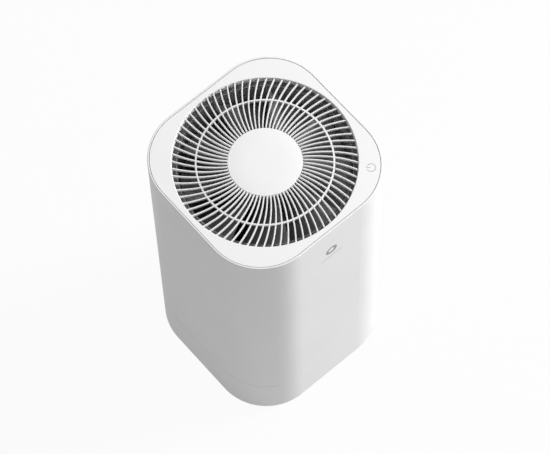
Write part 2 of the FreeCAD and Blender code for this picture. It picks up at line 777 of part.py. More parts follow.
# ---- motor bracket: cup, bearing tube, six struts and an outer ring ----
def makeBracket():
    bracket = body("bracketBody")
    tubeRadius = bearingRadius + 2.5
    seatTop = strutFoot + 2 + bearingTall + 0.2
    upperSeat = tubeTop - bearingTall - 0.2
    cup = [
        (bearingRadius, strutFoot), (cupRadius, strutFoot), (cupRadius, strutTop),
        (cupRadius - 2.5, strutTop), (cupRadius - 2.5, strutFoot + cupFloor),
        (tubeRadius, strutFoot + cupFloor),
        (tubeRadius, tubeTop), (bearingRadius, tubeTop), (bearingRadius, upperSeat),
        (bearingRadius - 3, upperSeat),
        (bearingRadius - 3, seatTop), (bearingRadius, seatTop),
    ]
    revolve(bracket, "cupProfile", cup)
    strut = sketchOn(bracket, "strut", offset=strutFoot)
    polygon(strut, [(cupRadius - 1, -strutThick / 2), (ductRadius - 2, -strutThick / 2),
                    (ductRadius - 2, strutThick / 2), (cupRadius - 1, strutThick / 2)])
    around(bracket, pad(bracket, strut, strutTall), 6)
    revolve(bracket, "bracketRing", [(ductRadius - 3, strutFoot), (ductRadius - fitGap, strutFoot),
                                     (ductRadius - fitGap, strutTop), (ductRadius - 3, strutTop)])
    radial = [rod(f"ringSide{i}", sideScrewRadius, 12, 0, 0, 0, "X") for i in range(3)]
    for index, drill in enumerate(radial):
        aim(drill, bracketScrewAngle + 120 * index, ductRadius - 5, bracketScrewHeight)
    piece("motor_bracket", cut("motorBracket", bracket, *radial))


makeBracket()
sideScrews = []
for index in range(3):
    angle = bracketScrewAngle + 120 * index
    shank = rod(f"sideShank{index}", sideScrewRadius - 0.05, 6, 0, 0, 0, "X")
    head = rod(f"sideHead{index}", 2.8, 1.8, 0, 0, 0, "X")
    aim(shank, angle, ductRadius + ductWall - 5.6, bracketScrewHeight)
    aim(head, angle, ductRadius + ductWall + 0.2, bracketScrewHeight)
    sideScrews.append(fuse(f"sideScrew{index}", shank, head))
piece("bracket_screws", group("bracketScrews", *sideScrews))

bearingFeet = {"lower_bearing": strutFoot + 2, "upper_bearing": tubeTop - bearingTall}
for label, foot in bearingFeet.items():
    piece(label, ringBody(label + "Ring", shaftRadius + runningGap, bearingRadius - 0.02, foot,
                          foot + bearingTall))


# ---- motor: wound core on the bearing tube, and the rotor that turns around it ----
coreFoot = strutTop + 8
magnetOuter = hubRadius - hubWall - canWall - 0.1
coreOuter = magnetOuter - magnetThick - airGap
toothCount = 12


def makeCore():
    core = body("coreBody")
    inner = bearingRadius + 2.6
    revolve(core, "coreYoke", [(inner, coreFoot), (inner + 5, coreFoot), (inner + 5, coreFoot + coreTall),
                               (inner, coreFoot + coreTall)])
    tooth = sketchOn(core, "tooth", offset=coreFoot)
    polygon(tooth, [(inner + 4, -1.6), (coreOuter - 2.5, -1.6), (coreOuter - 2.5, -5.5),
                    (coreOuter - 0.8, -6.2),
                    (coreOuter - 0.8, 6.2), (coreOuter - 2.5, 5.5), (coreOuter - 2.5, 1.6), (inner + 4, 1.6)])
    around(core, pad(core, tooth, coreTall), toothCount)
    piece("stator_core", core)


def makeWindings():
    coils = []
    inner = bearingRadius + 9.2
    outer = coreOuter - 3.2
    for index in range(toothCount):
        coil = block(f"coilOuter{index}", (0, outer - inner), (-4, 4), (0, coreTall + 5))
        gap = block(f"coilInner{index}", (-1, outer - inner + 2), (-1.7, 1.7), (2.4, coreTall + 2.6))
        ring = cut(f"coil{index}", coil, gap)
        angle = 360 * index / toothCount
        ring.Placement = FreeCAD.Placement(FreeCAD.Vector(), FreeCAD.Rotation(FreeCAD.Vector(0, 0, 1), angle))
        put(ring, inner * math.cos(math.radians(angle)), inner * math.sin(math.radians(angle)),
            coreFoot - 2.5)
        coils.append(ring)
    piece("stator_windings", group("statorWindings", *coils))


makeCore()
makeWindings()
canFoot = hubFoot + 1
canTop = tubeTop + 4
canOuter = hubRadius - hubWall - 0.1
rotorCan = body("rotorCanBody")
revolve(rotorCan, "rotorCanProfile", [
    (canOuter - canWall, canFoot), (canOuter, canFoot), (canOuter, canTop + canWall),
    (shaftRadius, canTop + canWall),
    (shaftRadius, canTop), (canOuter - canWall, canTop),
])
piece("rotor_can", rotorCan)
magnetFoot = coreFoot - 1
piece("magnet_ring", ringBody("magnetRing", magnetOuter - magnetThick, magnetOuter, magnetFoot,
                              magnetFoot + coreTall + 2))
nutFoot = bladeTop + 0.1
nutTall = size("nutTall", 5)
shaftFoot = strutFoot + 0.5
piece("motor_shaft", rod("motorShaft", shaftRadius, nutFoot + nutTall + 1 - shaftFoot, 0, 0, shaftFoot))
nut = document.addObject("Part::Prism", "nutPrism")
nut.Polygon = 6
bind(nut, Circumradius=shaftRadius + 3.5, Height=nutTall)
put(nut, 0, 0, nutFoot)
piece("shaft_nut", cut("shaftNut", nut, rod("nutBore", shaftRadius, nutTall + 2, 0, 0, nutFoot - 1)))


# ---- impeller: a round-nosed hub with nine twisted blades, trimmed to the duct ----
def makeImpeller():
    wheel = body("wheelBody")
    revolve(wheel, "hubProfile", [
        (hubRadius - hubWall, hubFoot), (hubRadius, hubFoot), (hubRadius, bladeTop - 5),
        (hubRadius - 1.5, bladeTop - 1.5),
        (hubRadius - 5, bladeTop), (shaftRadius, bladeTop), (shaftRadius, canTop + canWall + 0.1),
        (shaftRadius + 6, canTop + canWall + 0.1), (shaftRadius + 6, bladeTop - 3),
        (hubRadius - hubWall, bladeTop - 3),
    ])
    sections = []
    for name, radius in (("bladeRoot", hubRadius - 1.5), ("bladeTip", tipRadius + 8)):
        section = sketchOn(wheel, name, "XZ_Plane", radius)
        spread = math.tan(math.radians(number(bladeSpan) / 2)) * radius
        bladeSection(section, spread)
        sections.append(section)
    loft = wheel.newObject("PartDesign::AdditiveLoft", "blade")
    loft.Profile = sections[0]
    loft.Sections = [sections[1]]
    loft.Ruled = True
    around(wheel, loft, bladeCount)
    revolve(wheel, "tipTrim", [(tipRadius, bladeFoot - 5), (tipRadius + 40, bladeFoot - 5),
                               (tipRadius + 40, bladeTop + 5), (tipRadius, bladeTop + 5)], "Groove")
    wheel.Placement = FreeCAD.Placement(FreeCAD.Vector(), FreeCAD.Rotation(FreeCAD.Vector(0, 0, 1), 30))
    wheel.setExpression("Placement.Rotation.Angle", (bladePhase + 90 - bladeSpan / 2 + 0).text)
    piece("impeller", wheel)


def bladeSection(sketch, spread):
    # A cambered strip that rises from its leading edge at the foot to its trailing edge at the top.
    low, high = bladeFoot, bladeTop
    middle = (low + high) / 2
    points = [(-spread, low), (-bladeCamber, middle + bladeCamber), (spread - bladeThick, high),
              (spread, high), (bladeThick - bladeCamber, middle + bladeCamber - bladeThick),
              (bladeThick - spread, low)]
    polygon(sketch, points)


makeImpeller()


# ---- outlet grille: hub, spiral vanes, middle ring, band and four screw ears ----
def makeGrille():
    grille = body("grilleBody")
    bandInner = outletRadius - 0.6
    bandOuter = outletRadius + bandThick
    bandTop = panelUnder - 0.1
    revolve(grille, "band", [(bandInner, grilleFoot), (bandOuter, grilleFoot), (bandOuter, bandTop),
                             (bandInner, bandTop)])
    for index, (x, y) in enumerate(earPlaces):
        ear = sketchOn(grille, f"ear{index}", offset=grilleFoot)
        circle(ear, x, y, earRadius)
        pad(grille, ear, earThick)
        stem = sketchOn(grille, f"stem{index}", offset=grilleFoot)
        angle = earAngle + vanePhase + 90 * index
        along, across = (cosine(angle), sine(angle)), (-sine(angle), cosine(angle))
        reachIn, reachOut, side = outletRadius + 1, outletRadius + earReach, earRadius * 0.6
        polygon(stem, [
            (along[0] * reachIn - across[0] * side, along[1] * reachIn - across[1] * side),
            (along[0] * reachOut - across[0] * side, along[1] * reachOut - across[1] * side),
            (along[0] * reachOut + across[0] * side, along[1] * reachOut + across[1] * side),
            (along[0] * reachIn + across[0] * side, along[1] * reachIn + across[1] * side),
        ])
        pad(grille, stem, earThick)
    drills = sketchOn(grille, "earDrills", offset=grilleFoot + earThick)
    for x, y in earPlaces:
        circle(drills, x, y, 1.5)
    pocket(grille, drills, earThick)
    vane = sketchOn(grille, "vane", offset=vaneTop - vaneDepth)
    vaneOutline(vane)
    around(grille, pad(grille, vane, vaneDepth), vaneCount)
    hubOuter = capRadius + 0.6
    hubTop = vaneTop - capThick - 0.1
    revolve(grille, "grilleHub", [(0, grilleFoot), (hubOuter, grilleFoot), (hubOuter, hubTop), (0, hubTop)])
    ringTop = vaneTop - 0.1
    ringInner = ringRadius - ringThick / 2
    ringOuter = ringRadius + ringThick / 2
    revolve(grille, "middleRing", [(ringInner, ringTop - ringDepth), (ringOuter, ringTop - ringDepth),
                                   (ringOuter, ringTop), (ringInner, ringTop)])
    grille.Placement = FreeCAD.Placement(FreeCAD.Vector(), FreeCAD.Rotation(FreeCAD.Vector(0, 0, -1), 2))
    grille.setExpression("Placement.Rotation.Angle", vanePhase.text)
    piece("outlet_grille", grille)


def vaneOutline(sketch):
    # Two arcs about one centre, ended by chords on circles inside the hub and inside the band.
    lean = math.radians(vaneLean.value)
    centre = (capRadius - vaneCurve * sine(vaneLean), -(vaneCurve * cosine(vaneLean)))
    far = math.hypot(centre[0].value, centre[1].value)
    base = math.atan2(centre[1].value, centre[0].value)
    ends = (capRadius + 0.2, outletRadius - 0.3)
    for radius in (vaneCurve + vaneThick / 2, vaneCurve - vaneThick / 2):
        angles = []
        for end in ends:
            reach = (end.value ** 2 + far ** 2 - radius.value ** 2) / (2 * end.value * far)
            spot = base + math.acos(reach)
            x = end.value * math.cos(spot) - centre[0].value
            y = end.value * math.sin(spot) - centre[1].value
            angles.append(math.atan2(y, x))
        ring = Part.Circle(at(*centre), FreeCAD.Vector(0, 0, 1), radius.value)
        sketch.addGeometry(Part.ArcOfCircle(ring, angles[1], angles[0]), False)
    for point in (2, 1):
        sketch.addGeometry(Part.LineSegment(sketch.getPoint(0, point), sketch.getPoint(1, point)), False)
    for end in ends:
        index = sketch.addGeometry(Part.Circle(FreeCAD.Vector(), FreeCAD.Vector(0, 0, 1), end.value), True)
        sketch.addConstraint(Sketcher.Constraint("Coincident", index, 3, -1, 1))
        dimension(sketch, Sketcher.Constraint("Radius", index, end.value), end)
    sketch.addConstraint(Sketcher.Constraint("Coincident", 0, 3, 1, 3))
    fix(sketch, 0, 3, *centre)
    dimension(sketch, Sketcher.Constraint("Radius", 0, number(vaneCurve + vaneThick / 2)),
              vaneCurve + vaneThick / 2)
    dimension(sketch, Sketcher.Constraint("Radius", 1, number(vaneCurve - vaneThick / 2)),
              vaneCurve - vaneThick / 2)
    for line, point, ring in ((2, 2, 4), (3, 1, 5)):
        sketch.addConstraint(Sketcher.Constraint("Coincident", line, 1, 0, point))
        sketch.addConstraint(Sketcher.Constraint("Coincident", line, 2, 1, point))
        sketch.addConstraint(Sketcher.Constraint("PointOnObject", 0, point, ring))
        sketch.addConstraint(Sketcher.Constraint("PointOnObject", 1, point, ring))


def earAt(turn):
    # The ears in the frame of the tower, or in the grille's own frame when turned by its phase.
    places = []
    for index in range(4):
        angle = earAngle + turn + 90 * index
        places.append(((outletRadius + earReach) * cosine(angle), (outletRadius + earReach) * sine(angle)))
    return places


earPlaces = earAt(vanePhase)
grilleScrewPlaces = earAt(0)
makeGrille()
piece("grille_cap", ringBody("grilleCap", 0, capRadius, vaneTop - capThick, vaneTop))
screws("grille_screws", grilleScrewPlaces, grilleFoot - 0.05, panelUnder + 0.6, "foot", screwRadius - 0.5)


# ---- top panel: a flush lid with the outlet, four bosses and the touch key's window ----
iconX = half - cornerRadius + (cornerRadius - iconEdge) * math.sqrt(0.5)
iconY = -iconX


def iconSolid(name, foot, top, grow):
    # An open circle with a bar in its gap, which points at the middle of the outlet.
    tallness = top - foot
    outer = rod(name + "Outer", iconRadius + grow, tallness, 0, 0, 0)
    inner = rod(name + "Inner", iconRadius - iconLine - grow, tallness + 2, 0, 0, -1)
    gap = block(name + "Gap", (-10, 0), (-2.2 + grow, 2.2 - grow), (-1, tallness + 1))
    bar = block(name + "Bar", (-(iconRadius + 0.9), -1.0), (-iconLine / 2 - grow, iconLine / 2 + grow),
                (0, tallness))
    mark = fuse(name, cut(name + "Arc", outer, inner, gap), bar)
    mark.Placement = FreeCAD.Placement(FreeCAD.Vector(), FreeCAD.Rotation(FreeCAD.Vector(0, 0, 1), -45))
    put(mark, iconX, iconY, foot)
    return mark


def makePanel():
    reach = innerHalf - panelGap
    panel = squarePlate("panelBody", reach, innerCorner - panelGap, panelUnder, panelThick)
    mouth = sketchOn(panel, "mouth", offset=panelTop)
    circle(mouth, 0, 0, outletRadius)
    hole = pocket(panel, mouth)
    roundEdges(panel, hole, outletRound, mouthEdge)
    for index, (x, y) in enumerate(grilleScrewPlaces):
        boss = sketchOn(panel, f"panelBoss{index}", offset=grilleFoot + earThick + 0.1)
        circle(boss, x, y, earRadius - 1)
        pad(panel, boss, panelUnder - grilleFoot - earThick + 0.4)
    pilots = holes("panelPilot", grilleScrewPlaces, grilleFoot, panelUnder + 0.8, screwRadius - 0.5)
    cutter = iconSolid("iconCut", panelUnder - 1, tall + 1, 0)
    piece("top_panel", cut("topPanel", panel, *pilots, cutter))


def mouthEdge(edge):
    box = edge.BoundBox
    flat = abs(box.ZMin - number(panelTop)) < 0.01 and abs(box.ZMax - number(panelTop)) < 0.01
    return flat and abs(box.XMax - number(outletRadius)) < 0.01 and abs(box.XMin + number(outletRadius)) < 0.01


makePanel()
iconBack = rod("iconBack", iconRadius + 1.2, 1, iconX, iconY, panelUnder - 1.1)
piece("power_key_light", fuse("powerKeyLight", iconSolid("iconFace", panelUnder - 0.6, panelTop, 0),
                              iconBack))
touchTop = panelUnder - 1.3
touchHalf, touchReach = 7, 12
touchBoard = block("touchBoardPlate", (-touchHalf, touchHalf), (-touchReach, touchReach),
                   (touchTop - 1.2, touchTop))
touchBoard.Placement = FreeCAD.Placement(FreeCAD.Vector(), FreeCAD.Rotation(FreeCAD.Vector(0, 0, 1), -45))
touchCorner = math.sqrt(0.5)
put(touchBoard, iconX - (touchReach + touchHalf) * touchCorner,
    iconY - (touchReach - touchHalf) * touchCorner, touchTop - 1.2)
touchSocket = block("touchSocket", (iconX - 3, iconX + 3), (iconY - 9, iconY - 5),
                    (touchTop - 4.2, touchTop - 1))
piece("touch_board", fuse("touchBoard", touchBoard, touchSocket))


# ---- filter: two end caps, pleated pack, inner core, net, seal and pull tab ----
mediaFoot = filterFoot + filterCapWall
mediaTop = filterTop - filterCapWall
mediaRadius = filterRadius - pleatInset
capInner = filterRadius - filterCapWall
bottomCap = body("bottomCapBody")
revolve(bottomCap, "bottomCapProfile", [
    (0, filterFoot), (filterRadius, filterFoot), (filterRadius, filterFoot + filterCapTall),
    (capInner, filterFoot + filterCapTall), (capInner, mediaFoot), (0, mediaFoot),
])
piece("filter_bottom_cap", bottomCap)
topCap = body("topCapBody")
revolve(topCap, "topCapProfile", [
    (coreRadius - 2, mediaTop), (capInner, mediaTop), (capInner, filterTop - filterCapTall),
    (filterRadius, filterTop - filterCapTall), (filterRadius, filterTop), (coreRadius - 2, filterTop),
])
piece("filter_top_cap", topCap)
piece("filter_media", ringBody("filterMedia", coreRadius + coreWall + 0.2, mediaRadius, mediaFoot + 0.1,
                               mediaTop - 0.1))
core = ringBody("filterCoreTube", coreRadius, coreRadius + coreWall, mediaFoot + 0.1, mediaTop - 0.1)
coreSlot = sketchOn(core, "coreSlot", "XZ_Plane")
coreSlotHalf = size("coreSlotHalf", 4)
slotFoot = mediaFoot + 12
slotHead = mediaTop - 12
polygon(coreSlot, [(-coreSlotHalf, slotFoot), (coreSlotHalf, slotFoot), (coreSlotHalf, slotHead),
                   (-coreSlotHalf, slotHead)])
around(core, pocket(core, coreSlot, coreRadius + 10, reverse=True), 16)
piece("filter_core", core)
piece("filter_net", ringBody("filterNet", mediaRadius + 0.2, mediaRadius + 0.9, mediaFoot + 0.1,
                             mediaTop - 0.1))
piece("filter_seal", ringBody("filterSeal", coreRadius + 2, coreRadius + 2 + gasketWidth, filterTop,
                              filterTop + gasketTall))
tabHalf = size("tabHalf", 11)
tabStrap = block("tabStrap", (-tabHalf, tabHalf), (filterRadius + 0.3, filterRadius + 1.3),
                 (filterTop - 46, filterTop - 0.5))
tabHem = block("tabHem", (-tabHalf, tabHalf), (filterRadius + 0.3, filterRadius + 2.5),
               (filterTop - 50, filterTop - 45))
piece("filter_pull_tab", fuse("filterPullTab", tabStrap, tabHem))


# ---- rear door: the shell's rear wall on its own, with air slots, grip notch, tongues and magnet seats ----
magnetHeight = doorTop - gripTall / 2
magnetTall = size("magnetTall", 3)
keeperThick = size("keeperThick", 1.2)
keeperGap = size("keeperGap", 0.6)
switchSpread = size("switchSpread", 28)
magnetFace = innerHalf - magnetTall - 0.05
switchX = -(keeperSpread + switchSpread)
switchDrop = size("switchDrop", 6)
switchHalf = size("switchHalf", 5)
switchHeight = doorTop - switchDrop


def makeDoor():
    door = body("doorBody")
    outline = sketchOn(door, "doorOutline", offset=doorFoot)
    roundedSquare(outline, half, cornerRadius)
    pad(door, outline, doorTop - doorFoot)
    bore = sketchOn(door, "doorBore", offset=doorTop)
    roundedSquare(bore, innerHalf, innerCorner)
    pocket(door, bore)
    front = sketchOn(door, "doorFront", offset=doorTop)
    polygon(front, [(-width, -width), (width, -width), (width, doorPlane + doorGap),
                    (-width, doorPlane + doorGap)])
    pocket(door, front)
    slots = []
    columns = int((number(doorPlane) - 16) / number(slotPitch))
    firstRow = doorFoot + 18
    rowCount = int((number(doorTop - gripTall - 14) - number(firstRow)) / number(slotRise))
    for column in range(-columns, columns + 1):
        for row in range(rowCount):
            foot = firstRow + slotRise * row
            x = slotPitch * column
            slots.append(block(f"airSlot{column + columns}_{row}", (x - slotWidth / 2, x + slotWidth / 2),
                               (doorPlane - 5, half + 5), (foot, foot + slotTall)))
    grip = block("grip", (-gripWidth / 2, gripWidth / 2), (doorPlane, half + 5),
                 (doorTop - gripTall, doorTop + 5))
    tongues = [
        tongueBlock(f"tongue{index}", side, 0, doorPlane - tongueLong + 3, half - shellWall / 2,
                    floorTop + 0.4,
                    floorTop + 0.4 + tongueThick)
        for index, side in enumerate((-1, 1))
    ]
    rib = block("switchRib", (switchX - 2, switchX + 2), (doorPlane + 7.5, half),
                (switchHeight - 4, switchHeight + 4))
    limit = squarePlate("doorLimit", half - shellWall / 2, cornerRadius - shellWall / 2, doorFoot,
                        doorTop - doorFoot)
    inside = document.addObject("Part::MultiCommon", "doorInside")
    inside.Shapes = [fuse("doorFittings", *tongues, rib), limit]
    piece("rear_door", fuse("rearDoor", cut("doorPierced", door, *slots, grip), inside))


makeDoor()
doorMagnets = [
    rod(f"doorMagnet{i}", magnetRadius, magnetTall, keeperSpread * side, magnetFace, magnetHeight, "Y")
    for i, side in enumerate((-1, 1))
]
piece("door_magnets", group("doorMagnets", *doorMagnets))
keepers = []
for index, side in enumerate((-1, 1)):
    across = (keeperSpread * side - 8, keeperSpread * side + 8)
    keeperFace = magnetFace - keeperGap
    plate = block(f"keeperPlate{index}", across, (keeperFace - keeperThick, keeperFace),
                  (magnetHeight - 6, deckUnder - 0.1))
    foot = block(f"keeperFoot{index}", across, (keeperFace - 14, keeperFace),
                 (deckUnder - 0.1 - keeperThick, deckUnder - 0.1))
    keepers.append(fuse(f"keeper{index}", plate, foot))
piece("magnet_keepers", group("magnetKeepers", *keepers))
netFace = doorPlane + 8
piece("door_net", block("doorNet", (-doorPlane + 24, doorPlane - 24), (netFace, netFace + 1),
                        (doorFoot + 12, doorTop - gripTall - 8)))

# ---- interlock switch under the fan deck, pressed by the door's rib ----
switchBack = doorPlane - 10
switchFront = doorPlane + 2
switchBlock = block("switchBlock", (switchX - 8, switchX + 8), (switchBack, switchFront),
                    (switchHeight - switchHalf, deckUnder - 0.1))
plungerBore = rod("plungerBore", 1.85, 6, switchX, switchFront - 5, switchHeight, "Y")
piece("interlock_switch", cut("interlockSwitch", switchBlock, plungerBore))
piece("switch_plunger", rod("switchPlunger", 1.8, 7.8, switchX, switchFront - 2.6, switchHeight, "Y"))


# ---- wiring: the harness up the front corner, and the leads from the inlet and to the motor ----
def lead(label, points, radius, bend):
    # A round lead along straight runs joined by tangent arcs.
    route = [FreeCAD.Vector(*(number(c) for c in point)) for point in points]
    edges = []
    start = route[0]
    for index in range(1, len(route) - 1):
        inward = (route[index - 1] - route[index]).normalize()
        outward = (route[index + 1] - route[index]).normalize()
        turn = math.pi - inward.getAngle(outward)
        setback = bend * math.tan(turn / 2)
        first = route[index] + inward * setback
        last = route[index] + outward * setback
        bisector = (inward + outward).normalize()
        middle = route[index] + bisector * (bend / math.cos(turn / 2) - bend)
        edges.append(Part.LineSegment(start, first).toShape())
        edges.append(Part.Arc(first, middle, last).toShape())
        start = last
    edges.append(Part.LineSegment(start, route[-1]).toShape())
    path = Part.Wire(edges)
    direction = (route[1] - route[0]).normalize()
    profile = Part.Wire([Part.Circle(route[0], direction, number(radius)).toShape()])
    item = document.addObject("Part::Feature", label + "Lead")
    item.Shape = path.makePipeShell([profile], True, False)
    return piece(label, item)


leadRadius = size("leadRadius", 1.6)
leadHeight = boardFoot + 16
lead("touch_harness", [
    (harnessX, harnessY + 34, boardFoot + 10), (harnessX, harnessY, boardFoot + 10),
    (harnessX, harnessY, touchTop - 20),
], harnessRadius, 8)
lead("mains_lead", [
    (inletX + pinSpread + 8, inletBack - 8, portHeight - 2),
    (inletX + pinSpread + 8, inletBack - 28, leadHeight),
    (inletX - 70, inletBack - 28, leadHeight),
], leadRadius * 1.6, 8)


# ---- check every object, then write one STEP file for each piece ----
def checked():
    document.recompute()
    faults = [item.Name for item in document.Objects if "Invalid" in item.State or "Error" in item.State]
    for label, item in pieces.items():
        if item.Shape.isNull() or not item.Shape.isValid() or not item.Shape.Solids:
            faults.append(label)
    return faults


faults = checked()
if faults:
    raise SystemExit(f"these objects failed: {faults}")
os.makedirs("parts", exist_ok=True)
for label, item in pieces.items():
    item.Shape.exportStep(f"parts/{label}.step")
    print(label, len(item.Shape.Solids), "solids", round(item.Shape.Volume / 1000, 1), "cm3")
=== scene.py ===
import json
import math

import bpy
from mathutils import Matrix, Vector


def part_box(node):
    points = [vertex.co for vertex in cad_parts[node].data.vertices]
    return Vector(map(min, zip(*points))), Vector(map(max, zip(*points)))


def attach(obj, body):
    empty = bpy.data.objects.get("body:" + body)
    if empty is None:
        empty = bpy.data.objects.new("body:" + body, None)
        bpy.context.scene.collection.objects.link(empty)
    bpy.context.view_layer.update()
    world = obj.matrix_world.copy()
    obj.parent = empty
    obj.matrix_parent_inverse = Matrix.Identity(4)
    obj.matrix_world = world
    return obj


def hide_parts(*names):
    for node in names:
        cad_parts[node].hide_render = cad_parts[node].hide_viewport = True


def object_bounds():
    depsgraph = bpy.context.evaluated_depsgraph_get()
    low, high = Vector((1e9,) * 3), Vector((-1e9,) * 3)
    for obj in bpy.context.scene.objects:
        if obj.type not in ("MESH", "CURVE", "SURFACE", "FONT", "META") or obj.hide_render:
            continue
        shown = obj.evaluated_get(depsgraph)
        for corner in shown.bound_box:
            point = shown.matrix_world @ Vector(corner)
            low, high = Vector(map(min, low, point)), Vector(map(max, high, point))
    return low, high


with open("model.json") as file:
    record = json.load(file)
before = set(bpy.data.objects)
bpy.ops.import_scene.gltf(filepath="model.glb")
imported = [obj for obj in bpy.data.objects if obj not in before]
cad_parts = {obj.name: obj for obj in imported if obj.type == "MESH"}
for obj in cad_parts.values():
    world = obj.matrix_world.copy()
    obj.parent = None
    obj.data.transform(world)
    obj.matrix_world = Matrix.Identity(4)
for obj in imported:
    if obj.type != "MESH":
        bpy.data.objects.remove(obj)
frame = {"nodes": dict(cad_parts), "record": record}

nodes = frame["nodes"]
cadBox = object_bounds()
mm = 0.001
tower = {"width": cadBox[1].x - cadBox[0].x, "tall": cadBox[1].z, "brim": 9.5 * mm}
tower["outlet"] = tower["width"] / 2 - tower["brim"]      # radius of the round mouth in the top
bpy.ops.object.select_all(action="DESELECT")
print("frame loaded")


# camera: looks down on the front left corner, a long lens with a slight roll
camera = {"azimuth": -39.14, "elevation": 65.74, "roll": -1.74, "lens": 186.3, "sensor": 36.0,
          "distance": 3.726, "aimRight": 0.0171, "aimBack": 0.0053, "aimDrop": 0.232}


def makeCamera():
    side, lift, tilt = (math.radians(camera[k]) for k in ("azimuth", "elevation", "roll"))
    back = Vector((math.sin(side) * math.cos(lift), -math.cos(side) * math.cos(lift), math.sin(lift)))
    level = Vector((math.cos(side), math.sin(side), 0))
    upright = back.cross(level)
    right = level * math.cos(tilt) + upright * math.sin(tilt)
    top = upright * math.cos(tilt) - level * math.sin(tilt)
    aim = Vector((camera["aimRight"], camera["aimBack"], tower["tall"] - camera["aimDrop"]))
    bpy.ops.object.camera_add()
    cam = bpy.context.object
    cam.name = "studioCamera"
    turn = Matrix((right, top, back)).transposed().to_4x4()
    cam.matrix_world = Matrix.Translation(aim + back * camera["distance"]) @ turn
    cam.data.lens = camera["lens"]
    cam.data.sensor_width = camera["sensor"]
    cam.data.clip_end = 50
    bpy.context.scene.camera = cam


makeCamera()
print("camera placed")


# shader maths: a socket that takes part in sums
class Wire:
    def __init__(self, maker, socket):
        self.maker = maker
        self.socket = socket

    def join(self, how, first, second):
        return self.maker.maths(how, first, second)

    def __add__(self, other):
        return self.join("ADD", self, other)

    def __radd__(self, other):
        return self.join("ADD", other, self)

    def __rsub__(self, other):
        return self.join("SUBTRACT", other, self)

    def __mul__(self, other):
        return self.join("MULTIPLY", self, other)

    def __rmul__(self, other):
        return self.join("MULTIPLY", other, self)

    def __gt__(self, other):
        return self.join("GREATER_THAN", self, other)

    def __lt__(self, other):
        return self.join("LESS_THAN", self, other)

    def __pow__(self, other):
        return self.join("POWER", self, other)


class Finish:
    # one material: its node tree, its Principled shader and the sockets that vary over the surface
    def __init__(self, name, **fixed):
        self.material = bpy.data.materials.new(name)
        self.material.use_nodes = True
        self.tree = self.material.node_tree
        self.shader = self.tree.nodes["Principled BSDF"]
        for label, amount in fixed.items():
            self.shader.inputs[spaced(label)].default_value = amount

    def add(self, kind, settings=None, values=None, out=0):
        node = self.tree.nodes.new(kind)
        for label, setting in (settings or {}).items():
            if label == "stops":
                setStops(node.color_ramp, setting)
            else:
                setattr(node, label, setting)
        pairs = enumerate(values) if isinstance(values, (list, tuple)) else (values or {}).items()
        for key, amount in pairs:
            self.feed(node.inputs[key], amount)
        return Wire(self, node.outputs[out])

    def feed(self, socket, amount):
        if isinstance(amount, Wire):
            self.tree.links.new(amount.socket, socket)
        elif amount is not None:
            socket.default_value = amount

    def vary(self, **wires):
        for label, wire in wires.items():
            self.feed(self.shader.inputs[spaced(label)], wire)
        return self

    def place(self):
        return self.add("ShaderNodeTexCoord", out="Object")

    def axes(self):
        split = self.add("ShaderNodeSeparateXYZ", values=[self.place()])
        return [Wire(self, split.socket.node.outputs[i]) for i in range(3)]

    def cloud(self, scale, detail=2.0, rough=0.5, where=None):
        return self.add("ShaderNodeTexNoise", None,
                        {"Vector": where or self.place(), "Scale": scale, "Detail": detail, "Roughness": rough})

    def ramp(self, wire, stops):
        return self.add("ShaderNodeValToRGB", {"stops": stops}, [wire])

    def mix(self, share, first, second):
        return self.add("ShaderNodeMix", {"data_type": "RGBA"}, {0: share, 6: first, 7: second}, out=2)

    def span(self, wire, low, high, first=0.0, last=1.0):
        return self.add("ShaderNodeMapRange", None, [wire, low, high, first, last])

    def maths(self, how, first, second):
        return self.add("ShaderNodeMath", {"operation": how}, [first, second])

    def near(self, wire, spot, reach):
        return self.add("ShaderNodeMath", {"operation": "COMPARE"}, [wire, spot, reach])

    def bump(self, height, strength, depth):
        return self.add("ShaderNodeBump", None, {"Strength": strength, "Distance": depth, "Height": height})


def spaced(label):
    words = "".join(" " + c if c.isupper() else c for c in label).strip()
    return words[0].upper() + words[1:]


def setStops(ramp, stops):
    while len(ramp.elements) < len(stops):
        ramp.elements.new(0.5)
    for element, (spot, colour) in zip(ramp.elements, stops):
        element.position = spot
        element.color = colour if isinstance(colour, tuple) else (colour, colour, colour, 1)


def grey(tone):
    return (tone, tone, tone * 1.004, 1)


def tinted(colour, share):
    return tuple(min(c * share, 1) for c in colour[:3]) + (1,)


# moulded plastics: slow tone drift, spark-eroded grain and handling smears
plastic = {"drift": 0.014, "grainSize": 2600, "grainDeep": 0.00004, "smearSize": 34}


def mouldedPlastic(name, colour, rough, grain=0.25, coat=0.0, drift=None):
    finish = Finish(name, roughness=rough, coatWeight=coat, coatRoughness=0.25)
    base = grey(colour) if isinstance(colour, float) else colour
    swing = plastic["drift"] if drift is None else drift
    slow = finish.cloud(9, 3)
    toned = finish.mix(finish.span(slow, 0.3, 0.7), tinted(base, 1 - swing), tinted(base, 1 + swing))
    smear = finish.cloud(plastic["smearSize"], 5, 0.65)
    fine = finish.cloud(plastic["grainSize"], 1, 0.4)
    finish.vary(baseColor=toned, roughness=finish.span(smear, 0.3, 0.7, rough - 0.05, rough + 0.06),
                normal=finish.bump(fine, grain, plastic["grainDeep"]))
    return finish.material


